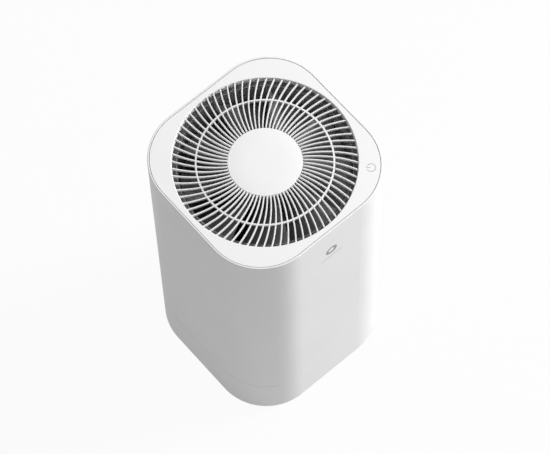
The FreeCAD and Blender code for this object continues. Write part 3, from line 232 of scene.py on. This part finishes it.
def dullMetal(name, tone, rough, brush):
    # plated or turned steel: fine drawn lines and patchy gloss
    finish = Finish(name, metallic=1.0, roughness=rough)
    x, y, z = finish.axes()
    lines = finish.cloud(brush, 2, 0.6, finish.add("ShaderNodeCombineXYZ", None, [x * 0.06, y * 0.06, z]))
    patch = finish.cloud(120, 4)
    colour = finish.mix(finish.span(patch, 0.3, 0.7), grey(tone * 0.86), grey(tone))
    worn = finish.span(lines + patch * 0.5, 0.5, 1.0, rough - 0.08, rough + 0.12)
    finish.vary(baseColor=colour, roughness=worn, normal=finish.bump(lines, 0.2, 0.00005))
    return finish.material


def laminated(name):
    # stacked sheets of core steel, half a millimetre each
    sheet = 0.0005
    finish = Finish(name, metallic=1.0, roughness=0.42)
    x, y, z = finish.axes()
    sheets = finish.maths("PINGPONG", z, sheet / 2) * (2 / sheet)
    colour = finish.ramp(sheets, [(0.0, 0.10), (0.25, 0.34), (1.0, 0.4)])
    finish.vary(baseColor=colour, roughness=finish.span(sheets, 0, 1, 0.6, 0.36),
                normal=finish.bump(sheets, 0.5, 0.00008))
    return finish.material


def windings(name):
    # enamelled wire wound on the teeth, turn beside turn along each tooth; the colour darkens towards the gaps
    # between turns as painted shade
    wire = 0.0007
    finish = Finish(name, metallic=0.85, coatWeight=0.6, coatRoughness=0.12)
    x, y, z = finish.axes()
    out = (x * x + y * y) ** 0.5
    turns = finish.maths("PINGPONG", out, wire / 2) * (2 / wire)
    # painted shade: the copper is darkest in the gaps between turns and palest on each turn's crown
    colour = finish.ramp(turns, [(0.0, (0.16, 0.05, 0.018, 1)), (0.45, (0.56, 0.22, 0.09, 1)),
                                 (1.0, (0.74, 0.33, 0.14, 1))])
    finish.vary(baseColor=colour, roughness=finish.span(turns, 0, 1, 0.5, 0.24),
                normal=finish.bump(turns, 0.8, 0.0002))
    return finish.material


def foam(name):
    # open-cell foam: small cells whose middles are darkened as painted shade in the pores, with paler walls
    finish = Finish(name, roughness=0.95, sheenWeight=0.2)
    cells = finish.add("ShaderNodeTexVoronoi", None, {"Vector": finish.place(), "Scale": 900})
    # painted shade: each cell is darkest at its middle and palest at its walls
    colour = finish.ramp(cells, [(0.0, 0.03), (0.5, 0.09), (1.0, 0.15)])
    finish.vary(baseColor=colour, normal=finish.bump(cells, 0.7, 0.0004))
    return finish.material


def rubberLike(name, tone, rough=0.72):
    # matt rubber with a pale bloom of dust
    finish = Finish(name, roughness=rough)
    bloom = finish.span(finish.cloud(70, 5, 0.7), 0.45, 0.75)
    finish.vary(baseColor=finish.mix(bloom * 0.5, grey(tone), grey(tone + 0.05)),
                roughness=rough + bloom * 0.12, normal=finish.bump(finish.cloud(1500, 2), 0.3, 0.00006))
    return finish.material


def circuitBoard(name):
    # green solder mask with buried tracks and pads; what stands above a board is a dark component
    finish = Finish(name, coatWeight=0.5, coatRoughness=0.15)
    x, y, z = finish.axes()
    tracks = finish.add("ShaderNodeTexBrick",
                        {"offset": 0.37, "offset_frequency": 3, "squash": 2.0, "squash_frequency": 4},
                        {"Vector": finish.place(), "Scale": 90, "Mortar Size": 0.035, "Mortar Smooth": 0.2,
                         "Brick Width": 0.6, "Row Height": 0.22}, out=1)
    dots = finish.add("ShaderNodeTexVoronoi", None, {"Vector": finish.place(), "Scale": 260})
    board = finish.mix(tracks, (0.012, 0.09, 0.035, 1), (0.03, 0.2, 0.075, 1))
    board = finish.mix(dots < 0.16, board, (0.55, 0.5, 0.42, 1))
    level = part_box("power_board")[0].z + 1.8 * mm
    raised = (z > level) * (z < tower["tall"] / 2)
    shade = finish.mix(finish.span(finish.cloud(55, 1), 0.4, 0.6), grey(0.018), (0.09, 0.085, 0.075, 1))
    finish.vary(baseColor=finish.mix(raised, board, shade),
                roughness=finish.span(tracks, 0, 1, 0.38, 0.3) + raised * 0.1,
                normal=finish.bump(tracks, 0.3, 0.0001))
    return finish.material


def filterPaper(name):
    # folded glass-fibre paper: off-white, fibrous, greyer at the outer folds where the air enters
    finish = Finish(name, roughness=0.9, sheenWeight=0.15)
    x, y, z = finish.axes()
    fibres = finish.cloud(1400, 4, 0.75, finish.add("ShaderNodeCombineXYZ", None, [x, y, z * 0.25]))
    out = (x * x + y * y) ** 0.5
    dust = finish.span(out, 78 * mm, 89 * mm) * finish.span(finish.cloud(22, 4), 0.35, 0.7)
    paper = finish.mix(finish.span(fibres, 0.35, 0.7), (0.78, 0.78, 0.75, 1), (0.9, 0.9, 0.885, 1))
    finish.vary(baseColor=finish.mix(dust * 0.35, paper, (0.6, 0.59, 0.56, 1)),
                normal=finish.bump(fibres, 0.4, 0.00012))
    return finish.material


def netYarn(name, colour):
    # plastic net: slightly glossy threads
    finish = Finish(name, roughness=0.5)
    worn = finish.span(finish.cloud(160, 4), 0.35, 0.7)
    finish.vary(baseColor=finish.mix(worn, tinted(colour, 0.8), tinted(colour, 1.15)),
                roughness=finish.span(finish.cloud(600, 3), 0.3, 0.7, 0.42, 0.66),
                normal=finish.bump(finish.cloud(2500, 2), 0.4, 0.00008))
    return finish.material


# woven pull tab: warp and weft a millimetre apart, with a stitched box at its top
weave = {"pitch": 1.1 * mm, "stitch": 2.2 * mm, "seam": 0.4 * mm, "inset": 2.2 * mm, "drop": 14 * mm}


def wovenTape(name, colour):
    finish = Finish(name, roughness=0.85, sheenWeight=0.4)
    low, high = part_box("filter_pull_tab")
    x, y, z = finish.axes()
    warp = finish.maths("PINGPONG", x, weave["pitch"] / 2) * (2 / weave["pitch"])
    weft = finish.maths("PINGPONG", z, weave["pitch"] / 2) * (2 / weave["pitch"])
    over = finish.maths("MAXIMUM", warp, weft)
    # painted shade: the cloth darkens in the gaps between threads and lightens on the thread crowns
    cloth = finish.mix(over, tinted(colour, 0.55), tinted(colour, 1.1))
    edge = finish.maths("ABSOLUTE", x, None)
    seamX = finish.near(edge, high.x - weave["inset"], weave["seam"])
    seamZ = finish.near(z, high.z - weave["drop"], weave["seam"]) * (edge < high.x - weave["inset"] + 0.2 * mm)
    dashes = finish.maths("PINGPONG", z + x, weave["stitch"] / 2) > weave["stitch"] * 0.14
    thread = finish.maths("MAXIMUM", seamX, seamZ) * dashes
    finish.vary(baseColor=finish.mix(thread, cloth, (0.72, 0.74, 0.76, 1)), roughness=0.9 - thread * 0.25,
                normal=finish.bump(over * 0.5 + thread, 0.8, 0.0003))
    return finish.material


def lightGuide(name, colour, glow):
    # translucent insert, evenly frosted, with a faint painted glow in its own colour
    finish = Finish(name, roughness=0.36, coatWeight=0.2, coatRoughness=0.1, emissionStrength=glow)
    frost = finish.cloud(800, 3)
    tone = finish.mix(finish.span(frost, 0.3, 0.7), tinted(colour, 0.95), tinted(colour, 1.05))
    # painted glow: the insert gives off light in its own tone
    finish.vary(baseColor=tone, emissionColor=tone, normal=finish.bump(frost, 0.15, 0.00005))
    return finish.material


finishes = {
    "white_shell": mouldedPlastic("shellPlastic", 0.80, 0.42, 0.25, 0.1),
    "white_top": mouldedPlastic("topPlastic", 0.84, 0.52, 0.15),
    "grille": mouldedPlastic("grillePlastic", 0.80, 0.36, 0.1),
    "dark_duct": mouldedPlastic("ductPlastic", 0.28, 0.55),
    "dark_blade": mouldedPlastic("bladePlastic", 0.19, 0.3, 0.12, 0.25),
    "inner_plastic": mouldedPlastic("innerPlastic", 0.62, 0.55, 0.5),
    "black_plastic": mouldedPlastic("socketPlastic", 0.022, 0.42, 0.6, drift=0.1),
    "filter_end": mouldedPlastic("filterEndPlastic", (0.075, 0.095, 0.105, 1), 0.52, 0.5, drift=0.06),
    "filter_core_plastic": mouldedPlastic("filterCorePlastic", 0.035, 0.55, 0.5, drift=0.08),
    "switch_button": mouldedPlastic("buttonPlastic", (0.52, 0.035, 0.02, 1), 0.35, 0.1),
    "status_dark": mouldedPlastic("statusRingPlastic", 0.27, 0.3, 0.05),
    # the three light guides below carry a faint painted glow
    "status_pale": lightGuide("statusBarGuide", (0.52, 0.52, 0.525), 0.02),
    "statusWindow": lightGuide("statusWindowGuide", (0.76, 0.77, 0.78), 0.05),
    "light_guide": lightGuide("powerKeyGuide", (0.44, 0.45, 0.46), 0.02),
    "black_foam": foam("sealFoam"),
    "rubber": rubberLike("footRubber", 0.03),
    "lead_sheath": rubberLike("leadSheath", 0.02, 0.6),
    "steel": dullMetal("platedSteel", 0.56, 0.32, 900),
    "core_steel": laminated("coreSheets"),
    "copper": windings("copperWire"),
    "magnet": dullMetal("magnetPlate", 0.42, 0.26, 300),
    "circuit_board": circuitBoard("boardMask"),
    "filter_paper": filterPaper("filterPaper"),
    "filter_mesh": netYarn("filterNetYarn", (0.12, 0.16, 0.18)),
    "door_mesh": netYarn("doorNetYarn", (0.05, 0.05, 0.052)),
    "tab_fabric": wovenTape("pullTape", (0.075, 0.15, 0.22)),
}


def dress():
    for part in frame["record"]["subparts"]:
        mesh = nodes[part["node"]].data
        mesh.materials.clear()
        mesh.materials.append(finishes[part["material_slot"]])


dress()
print("finishes made")


# hand moves that the pieces below are modelled with
def startPiece(name):
    piece = bpy.context.object
    piece.name = name
    piece.data.name = name
    bpy.ops.object.transform_apply(location=True, rotation=True, scale=True)
    return piece


def pickVertices(piece, wanted):
    bpy.ops.object.mode_set(mode="OBJECT")
    for edge in piece.data.edges:
        edge.select = False
    for face in piece.data.polygons:
        face.select = False
    for vertex in piece.data.vertices:
        vertex.select = wanted(vertex)
    bpy.ops.object.mode_set(mode="EDIT")


def drawOutline(name, points, closed=True):
    # a chain of edges in the upright plane through the X axis, drawn point by point
    corners = [Vector((x, 0, z)) for x, z in points]
    bpy.ops.object.select_all(action="DESELECT")
    bpy.ops.mesh.primitive_plane_add(size=mm, location=corners[0])
    piece = startPiece(name)
    bpy.ops.object.mode_set(mode="EDIT")
    bpy.ops.mesh.select_mode(type="VERT")
    bpy.ops.mesh.select_all(action="SELECT")
    bpy.ops.mesh.merge(type="CENTER")
    for here, there in zip(corners, corners[1:]):
        bpy.ops.mesh.extrude_vertices_move(TRANSFORM_OT_translate={"value": there - here})
    if closed:
        last = len(corners) - 1
        pickVertices(piece, lambda vertex: vertex.index in (0, last))
        bpy.ops.mesh.edge_face_add()
    bpy.ops.mesh.select_all(action="SELECT")
    return piece


def lathe(name, points, steps=96, closed=True):
    piece = drawOutline(name, points, closed)
    bpy.ops.mesh.spin(steps=steps, angle=2 * math.pi, center=(0, 0, 0), axis=(0, 0, 1))
    bpy.ops.mesh.select_all(action="SELECT")
    bpy.ops.mesh.remove_doubles(threshold=0.02 * mm)
    bpy.ops.mesh.normals_make_consistent(inside=False)
    bpy.ops.object.mode_set(mode="OBJECT")
    return piece


def soften(piece, width, segments=2, angle=35):
    bpy.context.view_layer.objects.active = piece
    bevel = piece.modifiers.new("soften", "BEVEL")
    bevel.width = width
    bevel.segments = segments
    bevel.limit_method = "ANGLE"
    bevel.angle_limit = math.radians(angle)
    bpy.ops.object.modifier_apply(modifier=bevel.name)


def smooth(piece, angle=35):
    bpy.ops.object.select_all(action="DESELECT")
    piece.select_set(True)
    bpy.context.view_layer.objects.active = piece
    bpy.ops.object.shade_smooth_by_angle(angle=math.radians(angle))
    bpy.ops.object.select_all(action="DESELECT")


def copyAround(piece, count):
    # copies of a piece about the tower's axis, joined to it
    copies = [piece]
    for index in range(1, count):
        twin = piece.copy()
        twin.data = piece.data.copy()
        bpy.context.scene.collection.objects.link(twin)
        twin.data.transform(Matrix.Rotation(index * 2 * math.pi / count, 4, "Z"))
        copies.append(twin)
    return joined(copies)


def joined(parts):
    bpy.ops.object.select_all(action="DESELECT")
    for part in parts:
        part.select_set(True)
    bpy.context.view_layer.objects.active = parts[0]
    bpy.ops.object.join()
    bpy.ops.object.select_all(action="DESELECT")
    return parts[0]


def settle(piece, body, slot, *hidden, finish=None, turn=0.0):
    # a finished piece: smooth, dressed, riding on its body and standing for the CAD nodes it hides
    if turn:
        piece.data.transform(Matrix.Rotation(turn, 4, "Z"))
    smooth(piece)
    piece.data.materials.clear()
    piece.data.materials.append(finish or finishes[slot])
    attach(piece, body)
    if hidden:
        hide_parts(*hidden)


# outlet grille: spiral vanes between the cap's seat and the band, with a ring half way
grille = {"vanes": 72, "thick": 1.8 * mm, "deep": 4 * mm, "edge": 0.45 * mm, "curve": 160 * mm, "lean": 3.15,
          "phase": -2.18, "steps": 14, "lap": 0.6 * mm, "ring": 85.6 * mm, "ringThick": 2.2 * mm,
          "ringDeep": 4 * mm, "ringSunk": 0.15 * mm, "ringEdge": 0.5 * mm, "cap": 46.6 * mm, "hubWall": 2.5 * mm,
          "hubSunk": 2.1 * mm, "band": 0.9 * mm, "bandIn": 0.5 * mm, "bandSunk": 1.5 * mm}
ears = {"angle": 31, "eyeReach": 10.5 * mm, "stemReach": 6 * mm, "eye": 10 * mm, "stemWide": 6 * mm,
        "stemLong": 9 * mm, "eyeThick": 2.6 * mm, "stemThick": 2.5 * mm, "edge": 0.3 * mm}


def makeGrille():
    foot, top = (corner.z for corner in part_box("outlet_grille"))
    outlet = tower["outlet"]
    lean = math.radians(grille["lean"])
    start = Vector((grille["cap"] + 0.25 * mm, 0, 0))
    centre = start - Vector((math.sin(lean), math.cos(lean), 0)) * grille["curve"]
    away = (start - centre).normalized()
    far, reach, bend = centre.length, outlet + grille["lap"], grille["curve"]
    # angles at the arc's centre where a vane starts and where it meets the band
    opening, closing = (math.acos((bend ** 2 + far ** 2 - out ** 2) / (2 * bend * far))
                        for out in (start.x, reach))
    bpy.ops.object.select_all(action="DESELECT")
    bpy.ops.mesh.primitive_plane_add(size=1, location=start + Vector((0, 0, top - grille["deep"] / 2)),
                                     rotation=(math.pi / 2, 0, math.atan2(away.y, away.x)))
    vane = bpy.context.object
    vane.scale = (grille["thick"], grille["deep"], 1)
    startPiece("outletGrille")
    bpy.ops.object.mode_set(mode="EDIT")
    bpy.ops.mesh.select_all(action="SELECT")
    bpy.ops.mesh.spin(steps=grille["steps"], angle=closing - opening, center=centre, axis=(0, 0, 1))
    bpy.ops.mesh.select_all(action="SELECT")
    bpy.ops.mesh.normals_make_consistent(inside=False)
    bpy.ops.object.mode_set(mode="OBJECT")
    soften(vane, grille["edge"])
    copyAround(vane, grille["vanes"])
    ringTop, ringFoot = top - grille["ringSunk"], top - grille["ringDeep"]
    half = grille["ringThick"] / 2
    ring = lathe("grilleRing", [(grille["ring"] - half, ringFoot), (grille["ring"] + half, ringFoot),
                                (grille["ring"] + half, ringTop), (grille["ring"] - half, ringTop)], 144)
    soften(ring, grille["ringEdge"])
    inner, outer, seat = grille["cap"] - grille["hubWall"], grille["cap"] + grille["lap"], top - grille["hubSunk"]
    hub = lathe("grilleHub", [(inner, foot), (outer, foot), (outer, seat), (inner, seat)], 96)
    inner, outer, seat = outlet - grille["bandIn"], outlet + grille["band"], top - grille["bandSunk"]
    band = lathe("grilleBand", [(inner, foot), (outer, foot), (outer, seat), (inner, seat)], 144)
    whole = joined([vane, ring, hub, band] + grilleEars(foot, outlet))
    settle(whole, "housing", "white_top", "outlet_grille", turn=math.radians(grille["phase"]),
           finish=finishes["grille"])


def grilleEars(foot, outlet):
    # screw ears under the top panel, where the round band meets the square corners
    made = []
    for index in range(4):
        spot = math.radians(ears["angle"] - grille["phase"] + 90 * index)
        outward = Vector((math.cos(spot), math.sin(spot), 0))
        level = Vector((0, 0, foot + ears["eyeThick"] / 2))
        bpy.ops.object.select_all(action="DESELECT")
        bpy.ops.mesh.primitive_cylinder_add(vertices=32, radius=ears["eye"] / 2, depth=ears["eyeThick"],
                                            location=outward * (outlet + ears["eyeReach"]) + level)
        made.append(startPiece("earEye"))
        soften(made[-1], ears["edge"])
        bpy.ops.object.select_all(action="DESELECT")
        bpy.ops.mesh.primitive_cube_add(size=1, location=outward * (outlet + ears["stemReach"]) + level,
                                        rotation=(0, 0, spot))
        bpy.context.object.scale = (ears["stemLong"], ears["stemWide"], ears["stemThick"])
        made.append(startPiece("earStem"))
        soften(made[-1], ears["edge"])
    return made


makeGrille()


# flat cap in the middle of the grille, with a soft rim
cap = {"rim": 0.7 * mm, "crown": 0.25 * mm}


def makeCap():
    low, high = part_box("grille_cap")
    reach, foot, top = high.x, low.z, high.z
    rim, crown = cap["rim"], cap["crown"]
    outline = [(0, foot), (reach - rim, foot), (reach, foot + rim * 0.6), (reach, top - rim - crown)]
    for index in range(1, 6):
        lift = math.radians(90 * index / 5)
        outline.append((reach - rim + rim * math.cos(lift), top - rim - crown + rim * math.sin(lift)))
    outline += [(reach * 0.5, top - crown * 0.3), (0, top)]
    piece = lathe("grilleCap", outline, 128, closed=False)
    settle(piece, "housing", "white_top", "grille_cap")


makeCap()
print("grille made")


# fan wheel: a round-nosed hub and blades, each a radial edge swept up a helix that steepens
wheel = {"blades": 9, "hub": 42 * mm, "wall": 2.7 * mm, "nose": 7 * mm, "bore": 5 * mm, "skin": 3 * mm,
         "span": 36.0, "topAngle": 6.3, "thick": 2.0 * mm, "edge": 0.6 * mm, "tipGap": 0.5 * mm,
         "bladeLift": 12 * mm, "steps": 12, "steepen": 0.35}


def makeWheel():
    low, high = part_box("impeller")
    tip, foot, top = high.x - wheel["tipGap"], low.z, high.z
    bladeFoot = foot + wheel["bladeLift"]
    reach, nose, bore, under = wheel["hub"], wheel["nose"], wheel["bore"], top - wheel["skin"]
    inside = reach - wheel["wall"]
    outline = [(inside, foot), (reach, foot), (reach, top - nose)]
    for index in range(1, 9):
        lift = math.radians(90 * index / 8)
        outline.append((reach - nose + nose * math.cos(lift), top - nose + nose * math.sin(lift)))
    outline += [(bore, top), (bore, under), (reach - nose, under), (inside, top - nose - mm)]
    hub = lathe("fanWheel", outline, 96)
    bpy.ops.object.select_all(action="DESELECT")
    bpy.ops.mesh.primitive_grid_add(x_subdivisions=8, y_subdivisions=1, size=1,
                                    location=((reach + tip) / 2 - mm, 0, bladeFoot))
    blade = bpy.context.object
    blade.scale = (tip - reach + mm, mm, 1)      # its root is sunk in the hub
    startPiece("blade")
    bpy.ops.object.mode_set(mode="EDIT")
    pickVertices(blade, lambda vertex: vertex.co.y < 0)
    bpy.ops.mesh.delete(type="VERT")
    bpy.ops.mesh.select_all(action="SELECT")
    rise, swing = top - bladeFoot, math.radians(wheel["span"])
    for index in range(wheel["steps"]):
        ends = [(index + k) / wheel["steps"] for k in (0, 1)]
        before, after = (end * (1 - wheel["steepen"]) + end * end * wheel["steepen"] for end in ends)
        bpy.ops.mesh.extrude_region_move(TRANSFORM_OT_translate={"value": (0, 0, rise * (after - before))})
        bpy.ops.transform.rotate(value=-swing / wheel["steps"], orient_axis="Z", center_override=(0, 0, 0))
    bpy.ops.mesh.select_all(action="SELECT")
    bpy.ops.mesh.normals_make_consistent(inside=False)
    bpy.ops.object.mode_set(mode="OBJECT")
    bpy.context.view_layer.objects.active = blade
    shell = blade.modifiers.new("thick", "SOLIDIFY")
    shell.thickness = wheel["thick"]
    shell.offset = 0
    bpy.ops.object.modifier_apply(modifier=shell.name)
    soften(blade, wheel["edge"], 2, 50)
    turn = math.radians(wheel["topAngle"]) - bladeTopAngle(blade, top)
    blade.data.transform(Matrix.Rotation(turn, 4, "Z"))
    copyAround(blade, wheel["blades"])
    settle(joined([hub, blade]), "fan_rotor", "dark_blade", "impeller")


def bladeTopAngle(blade, top):
    high = [v.co for v in blade.data.vertices if v.co.z > top - 1.5 * mm]
    return sum(math.atan2(co.y, co.x) for co in high) / len(high)


makeWheel()
print("fan wheel made")


# filter: pleated pack, the net round it, end caps and a cloth pull tab
filterLook = {"pleats": 110, "fold": 0.45 * mm, "bore": 60 * mm, "slack": 0.6 * mm, "netPitch": 5 * mm,
              "netThread": 0.5 * mm, "capRound": 1.2 * mm, "capWall": 1.6 * mm, "capBore": 54 * mm}
doorNetLook = {"pitch": 3.2 * mm, "thread": 0.55 * mm}
pullTab = {"thick": 0.9 * mm, "hem": 6 * mm, "step": 3 * mm, "lifts": (0.9 * mm, 0.7 * mm)}


def makePleats():
    low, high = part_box("filter_media")
    slack = filterLook["slack"]
    outer = high.x - slack
    bpy.ops.object.select_all(action="DESELECT")
    bpy.ops.mesh.primitive_circle_add(vertices=filterLook["pleats"] * 2, radius=outer,
                                      location=(0, 0, low.z + slack / 2))
    pleats = startPiece("filterPleats")
    pickVertices(pleats, lambda vertex: vertex.index % 2 == 0)
    share = filterLook["bore"] / outer
    bpy.ops.transform.resize(value=(share, share, 1), center_override=(0, 0, 0))
    bpy.ops.mesh.select_all(action="SELECT")
    bpy.ops.mesh.extrude_region_move(TRANSFORM_OT_translate={"value": (0, 0, high.z - low.z - slack)})
    bpy.ops.mesh.select_all(action="SELECT")
    bpy.ops.mesh.normals_make_consistent(inside=False)
    bpy.ops.object.mode_set(mode="OBJECT")
    paper = pleats.modifiers.new("paper", "SOLIDIFY")
    paper.thickness = filterLook["fold"]
    bpy.context.view_layer.objects.active = pleats
    bpy.ops.object.modifier_apply(modifier=paper.name)
    settle(pleats, "filter", "filter_paper", "filter_media")


def makeNet(name, low, high, radius, body, slot, node, pitch, thread):
    # strands both ways, round a drum when it has a radius or flat when it has none
    wide, tall = 2 * math.pi * radius if radius else high.x - low.x, high.z - low.z
    across, up = round(wide / pitch), round(tall / pitch)
    bpy.ops.object.select_all(action="DESELECT")
    if radius:
        bpy.ops.mesh.primitive_cylinder_add(vertices=across, radius=radius, depth=tall, end_fill_type="NOTHING",
                                            location=(0, 0, (low.z + high.z) / 2))
        net = startPiece(name)
        bpy.ops.object.mode_set(mode="EDIT")
        for index in range(1, up):
            level = low.z + tall * index / up
            bpy.ops.mesh.select_all(action="SELECT")
            bpy.ops.mesh.bisect(plane_co=(0, 0, level), plane_no=(0, 0, 1))
    else:
        bpy.ops.mesh.primitive_grid_add(x_subdivisions=across, y_subdivisions=up, size=1,
                                        location=(low + high) / 2, rotation=(math.pi / 2, 0, 0))
        net = bpy.context.object
        net.scale = (wide, tall, 1)
        startPiece(name)
    bpy.ops.object.mode_set(mode="OBJECT")
    bpy.context.view_layer.objects.active = net
    strands = net.modifiers.new("strands", "WIREFRAME")
    strands.thickness = thread
    bpy.ops.object.modifier_apply(modifier=strands.name)
    settle(net, body, slot, node)


def makeFilterCaps():
    for node, name in (("filter_bottom_cap", "filterFoot"), ("filter_top_cap", "filterHead")):
        low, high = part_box(node)
        reach, wall, turnIn = high.x, filterLook["capWall"], filterLook["capRound"]
        upward = 1 if node == "filter_bottom_cap" else -1
        flat, lip = (low.z, high.z) if upward > 0 else (high.z, low.z)
        inner = 0 if upward > 0 else filterLook["capBore"]
        outline = [(inner, flat), (reach - turnIn, flat)]
        for index in range(1, 5):
            lift = math.radians(90 * index / 4)
            outline.append((reach - turnIn * (1 - math.sin(lift)), flat + upward * turnIn * (1 - math.cos(lift))))
        inside = flat + upward * wall
        outline += [(reach, lip), (reach - wall, lip), (reach - wall, inside), (inner, inside)]
        piece = lathe(name, outline, 120, closed=bool(inner))
        settle(piece, "filter", "filter_end", node)


def makePullTab():
    low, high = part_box("filter_pull_tab")
    bpy.ops.object.select_all(action="DESELECT")
    middle = (0, low.y + pullTab["thick"] * 2 / 3, (low.z + high.z) / 2)
    bpy.ops.mesh.primitive_grid_add(x_subdivisions=6, y_subdivisions=16, size=1, location=middle,
                                    rotation=(math.pi / 2, 0, 0))
    tab = bpy.context.object
    tab.scale = (high.x - low.x, high.z - low.z, 1)
    startPiece("filterTab")
    hem = low.z + pullTab["hem"]
    for index, lift in enumerate(pullTab["lifts"]):
        pickVertices(tab, lambda vertex: vertex.co.z < hem - index * pullTab["step"])
        bpy.ops.transform.translate(value=(0, lift, 0))
    bpy.ops.object.mode_set(mode="OBJECT")
    bpy.context.view_layer.objects.active = tab
    cloth = tab.modifiers.new("cloth", "SOLIDIFY")
    cloth.thickness = pullTab["thick"]
    cloth.offset = 0
    bpy.ops.object.modifier_apply(modifier=cloth.name)
    plump = tab.modifiers.new("plump", "SUBSURF")
    plump.levels = plump.render_levels = 1
    bpy.ops.object.modifier_apply(modifier=plump.name)
    settle(tab, "filter", "tab_fabric", "filter_pull_tab")


makePleats()
netLow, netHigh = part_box("filter_net")
makeNet("filterNet", netLow, netHigh, netHigh.x - 0.4 * mm, "filter", "filter_mesh", "filter_net",
        filterLook["netPitch"], filterLook["netThread"])
doorLow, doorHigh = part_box("door_net")
makeNet("doorNet", doorLow, doorHigh, 0, "door", "door_mesh", "door_net",
        doorNetLook["pitch"], doorNetLook["thread"])
makeFilterCaps()
makePullTab()
print("filter made")


# status ring and window in the front wall, and the rubber feet: turned pieces
status = {"outer": 9.0 * mm, "inner": 4.6 * mm, "proud": 0.15 * mm, "deep": 2.0 * mm, "play": 0.05 * mm}
feet = {"reach": 9 * mm, "round": 0.8 * mm, "groove": 0.6 * mm}


def makeStatus():
    low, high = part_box("status_lens")
    face, middle = low.y, (low.z + high.z) / 2
    outer, inner, proud, back = status["outer"], status["inner"], status["proud"], -status["deep"]
    snug = inner - status["play"]
    bezel = lathe("statusRing", [(inner, 0), (inner + 0.4 * mm, proud), (outer - 0.5 * mm, proud), (outer, 0),
                                 (outer, back), (inner, back)], 72)
    window = lathe("statusWindow", [(0, status["play"]), (inner * 0.6, 0), (snug, -proud), (snug, back),
                                    (0, back)], 48, closed=False)
    for piece, look in ((bezel, "status_dark"), (window, "statusWindow")):
        piece.data.transform(Matrix.Translation((0, face, middle)) @ Matrix.Rotation(math.pi / 2, 4, "X"))
        settle(piece, "housing", "status_dark", finish=finishes[look])
    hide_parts("status_lens")


def makeFeet():
    low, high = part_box("rubber_feet")
    lift, reach, spread = high.z, feet["reach"], high.x - feet["reach"]
    edge, groove = feet["round"], feet["groove"]
    outline = [(0, groove), (reach * 0.35, groove), (reach * 0.42, 0), (reach * 0.62, 0), (reach * 0.66, groove),
               (reach * 0.72, groove), (reach * 0.76, 0), (reach - edge, 0), (reach - edge * 0.3, edge * 0.3),
               (reach, edge), (reach, lift), (0, lift)]
    pads = []
    for right, back in ((1, 1), (-1, 1), (-1, -1), (1, -1)):
        pad = lathe("rubberFeet", outline, 48, closed=False)
        pad.data.transform(Matrix.Translation((spread * right, spread * back, 0)))
        pads.append(pad)
    settle(joined(pads), "housing", "rubber", "rubber_feet")


makeStatus()
makeFeet()
print("small pieces made")


# studio: a pale floor that glows evenly, a pale backdrop and soft lights
studio = {"floor": 9.0, "floorDrop": 0.2 * mm, "floorTone": 0.35, "floorGlow": 0.42, "white": 0.9,
          "sky": 0.318, "backdrop": 0.96}
lamps = [
    {"name": "key", "at": (3.0, -1.3, 2.3), "size": 1.2, "power": 168},
    {"name": "over", "at": (0.2, 0.6, 3.4), "size": 2.4, "power": 17.8},
]


def makeFloor():
    bpy.ops.mesh.primitive_plane_add(size=studio["floor"], location=(0, 0, -studio["floorDrop"]))
    floor = bpy.context.object
    floor.name = "studioFloor"
    paint = Finish("floorPaint", roughness=0.8, emissionStrength=studio["floorGlow"])
    tone = studio["floorTone"]
    tint = paint.mix(paint.span(paint.cloud(3), 0.3, 0.7), grey(tone - 0.01), grey(tone))
    paint.vary(baseColor=tint)
    paint.shader.inputs["Emission Color"].default_value = (1, 1, 1, 1)
    # the floor looks nearly white but gives less light back to the tower
    bright = paint.add("ShaderNodeEmission", None, {"Strength": 1.0})
    straight = paint.add("ShaderNodeLightPath")
    plain = Wire(paint, paint.shader.outputs[0])
    both = paint.add("ShaderNodeMixShader", None, [straight * studio["white"], plain, bright])
    paint.feed(paint.tree.nodes["Material Output"].inputs["Surface"], both)
    floor.data.materials.append(paint.material)


def makeStudio():
    makeFloor()
    middle = Vector((0, 0, tower["tall"] / 2))
    for lamp in lamps:
        bpy.ops.object.light_add(type="AREA", location=lamp["at"])
        light = bpy.context.object
        light.name = lamp["name"] + "Light"
        light.data.shape = "DISK"
        light.data.size = lamp["size"]
        light.data.energy = lamp["power"]
        light.rotation_euler = (middle - light.location).to_track_quat("-Z", "Y").to_euler()
    world = bpy.data.worlds.new("studioSky")
    bpy.context.scene.world = world
    world.use_nodes = True
    tree = world.node_tree
    sky = tree.nodes["Background"]
    sky.inputs["Color"].default_value = (1, 1, 1, 1)
    rays = tree.nodes.new("ShaderNodeLightPath")
    power = tree.nodes.new("ShaderNodeMapRange")
    power.inputs["To Min"].default_value = studio["sky"]
    power.inputs["To Max"].default_value = studio["backdrop"]
    tree.links.new(rays.outputs["Is Camera Ray"], power.inputs["Value"])
    tree.links.new(power.outputs["Result"], sky.inputs["Strength"])


makeStudio()
bpy.context.scene.view_settings.view_transform = "Standard"
print("studio lit")
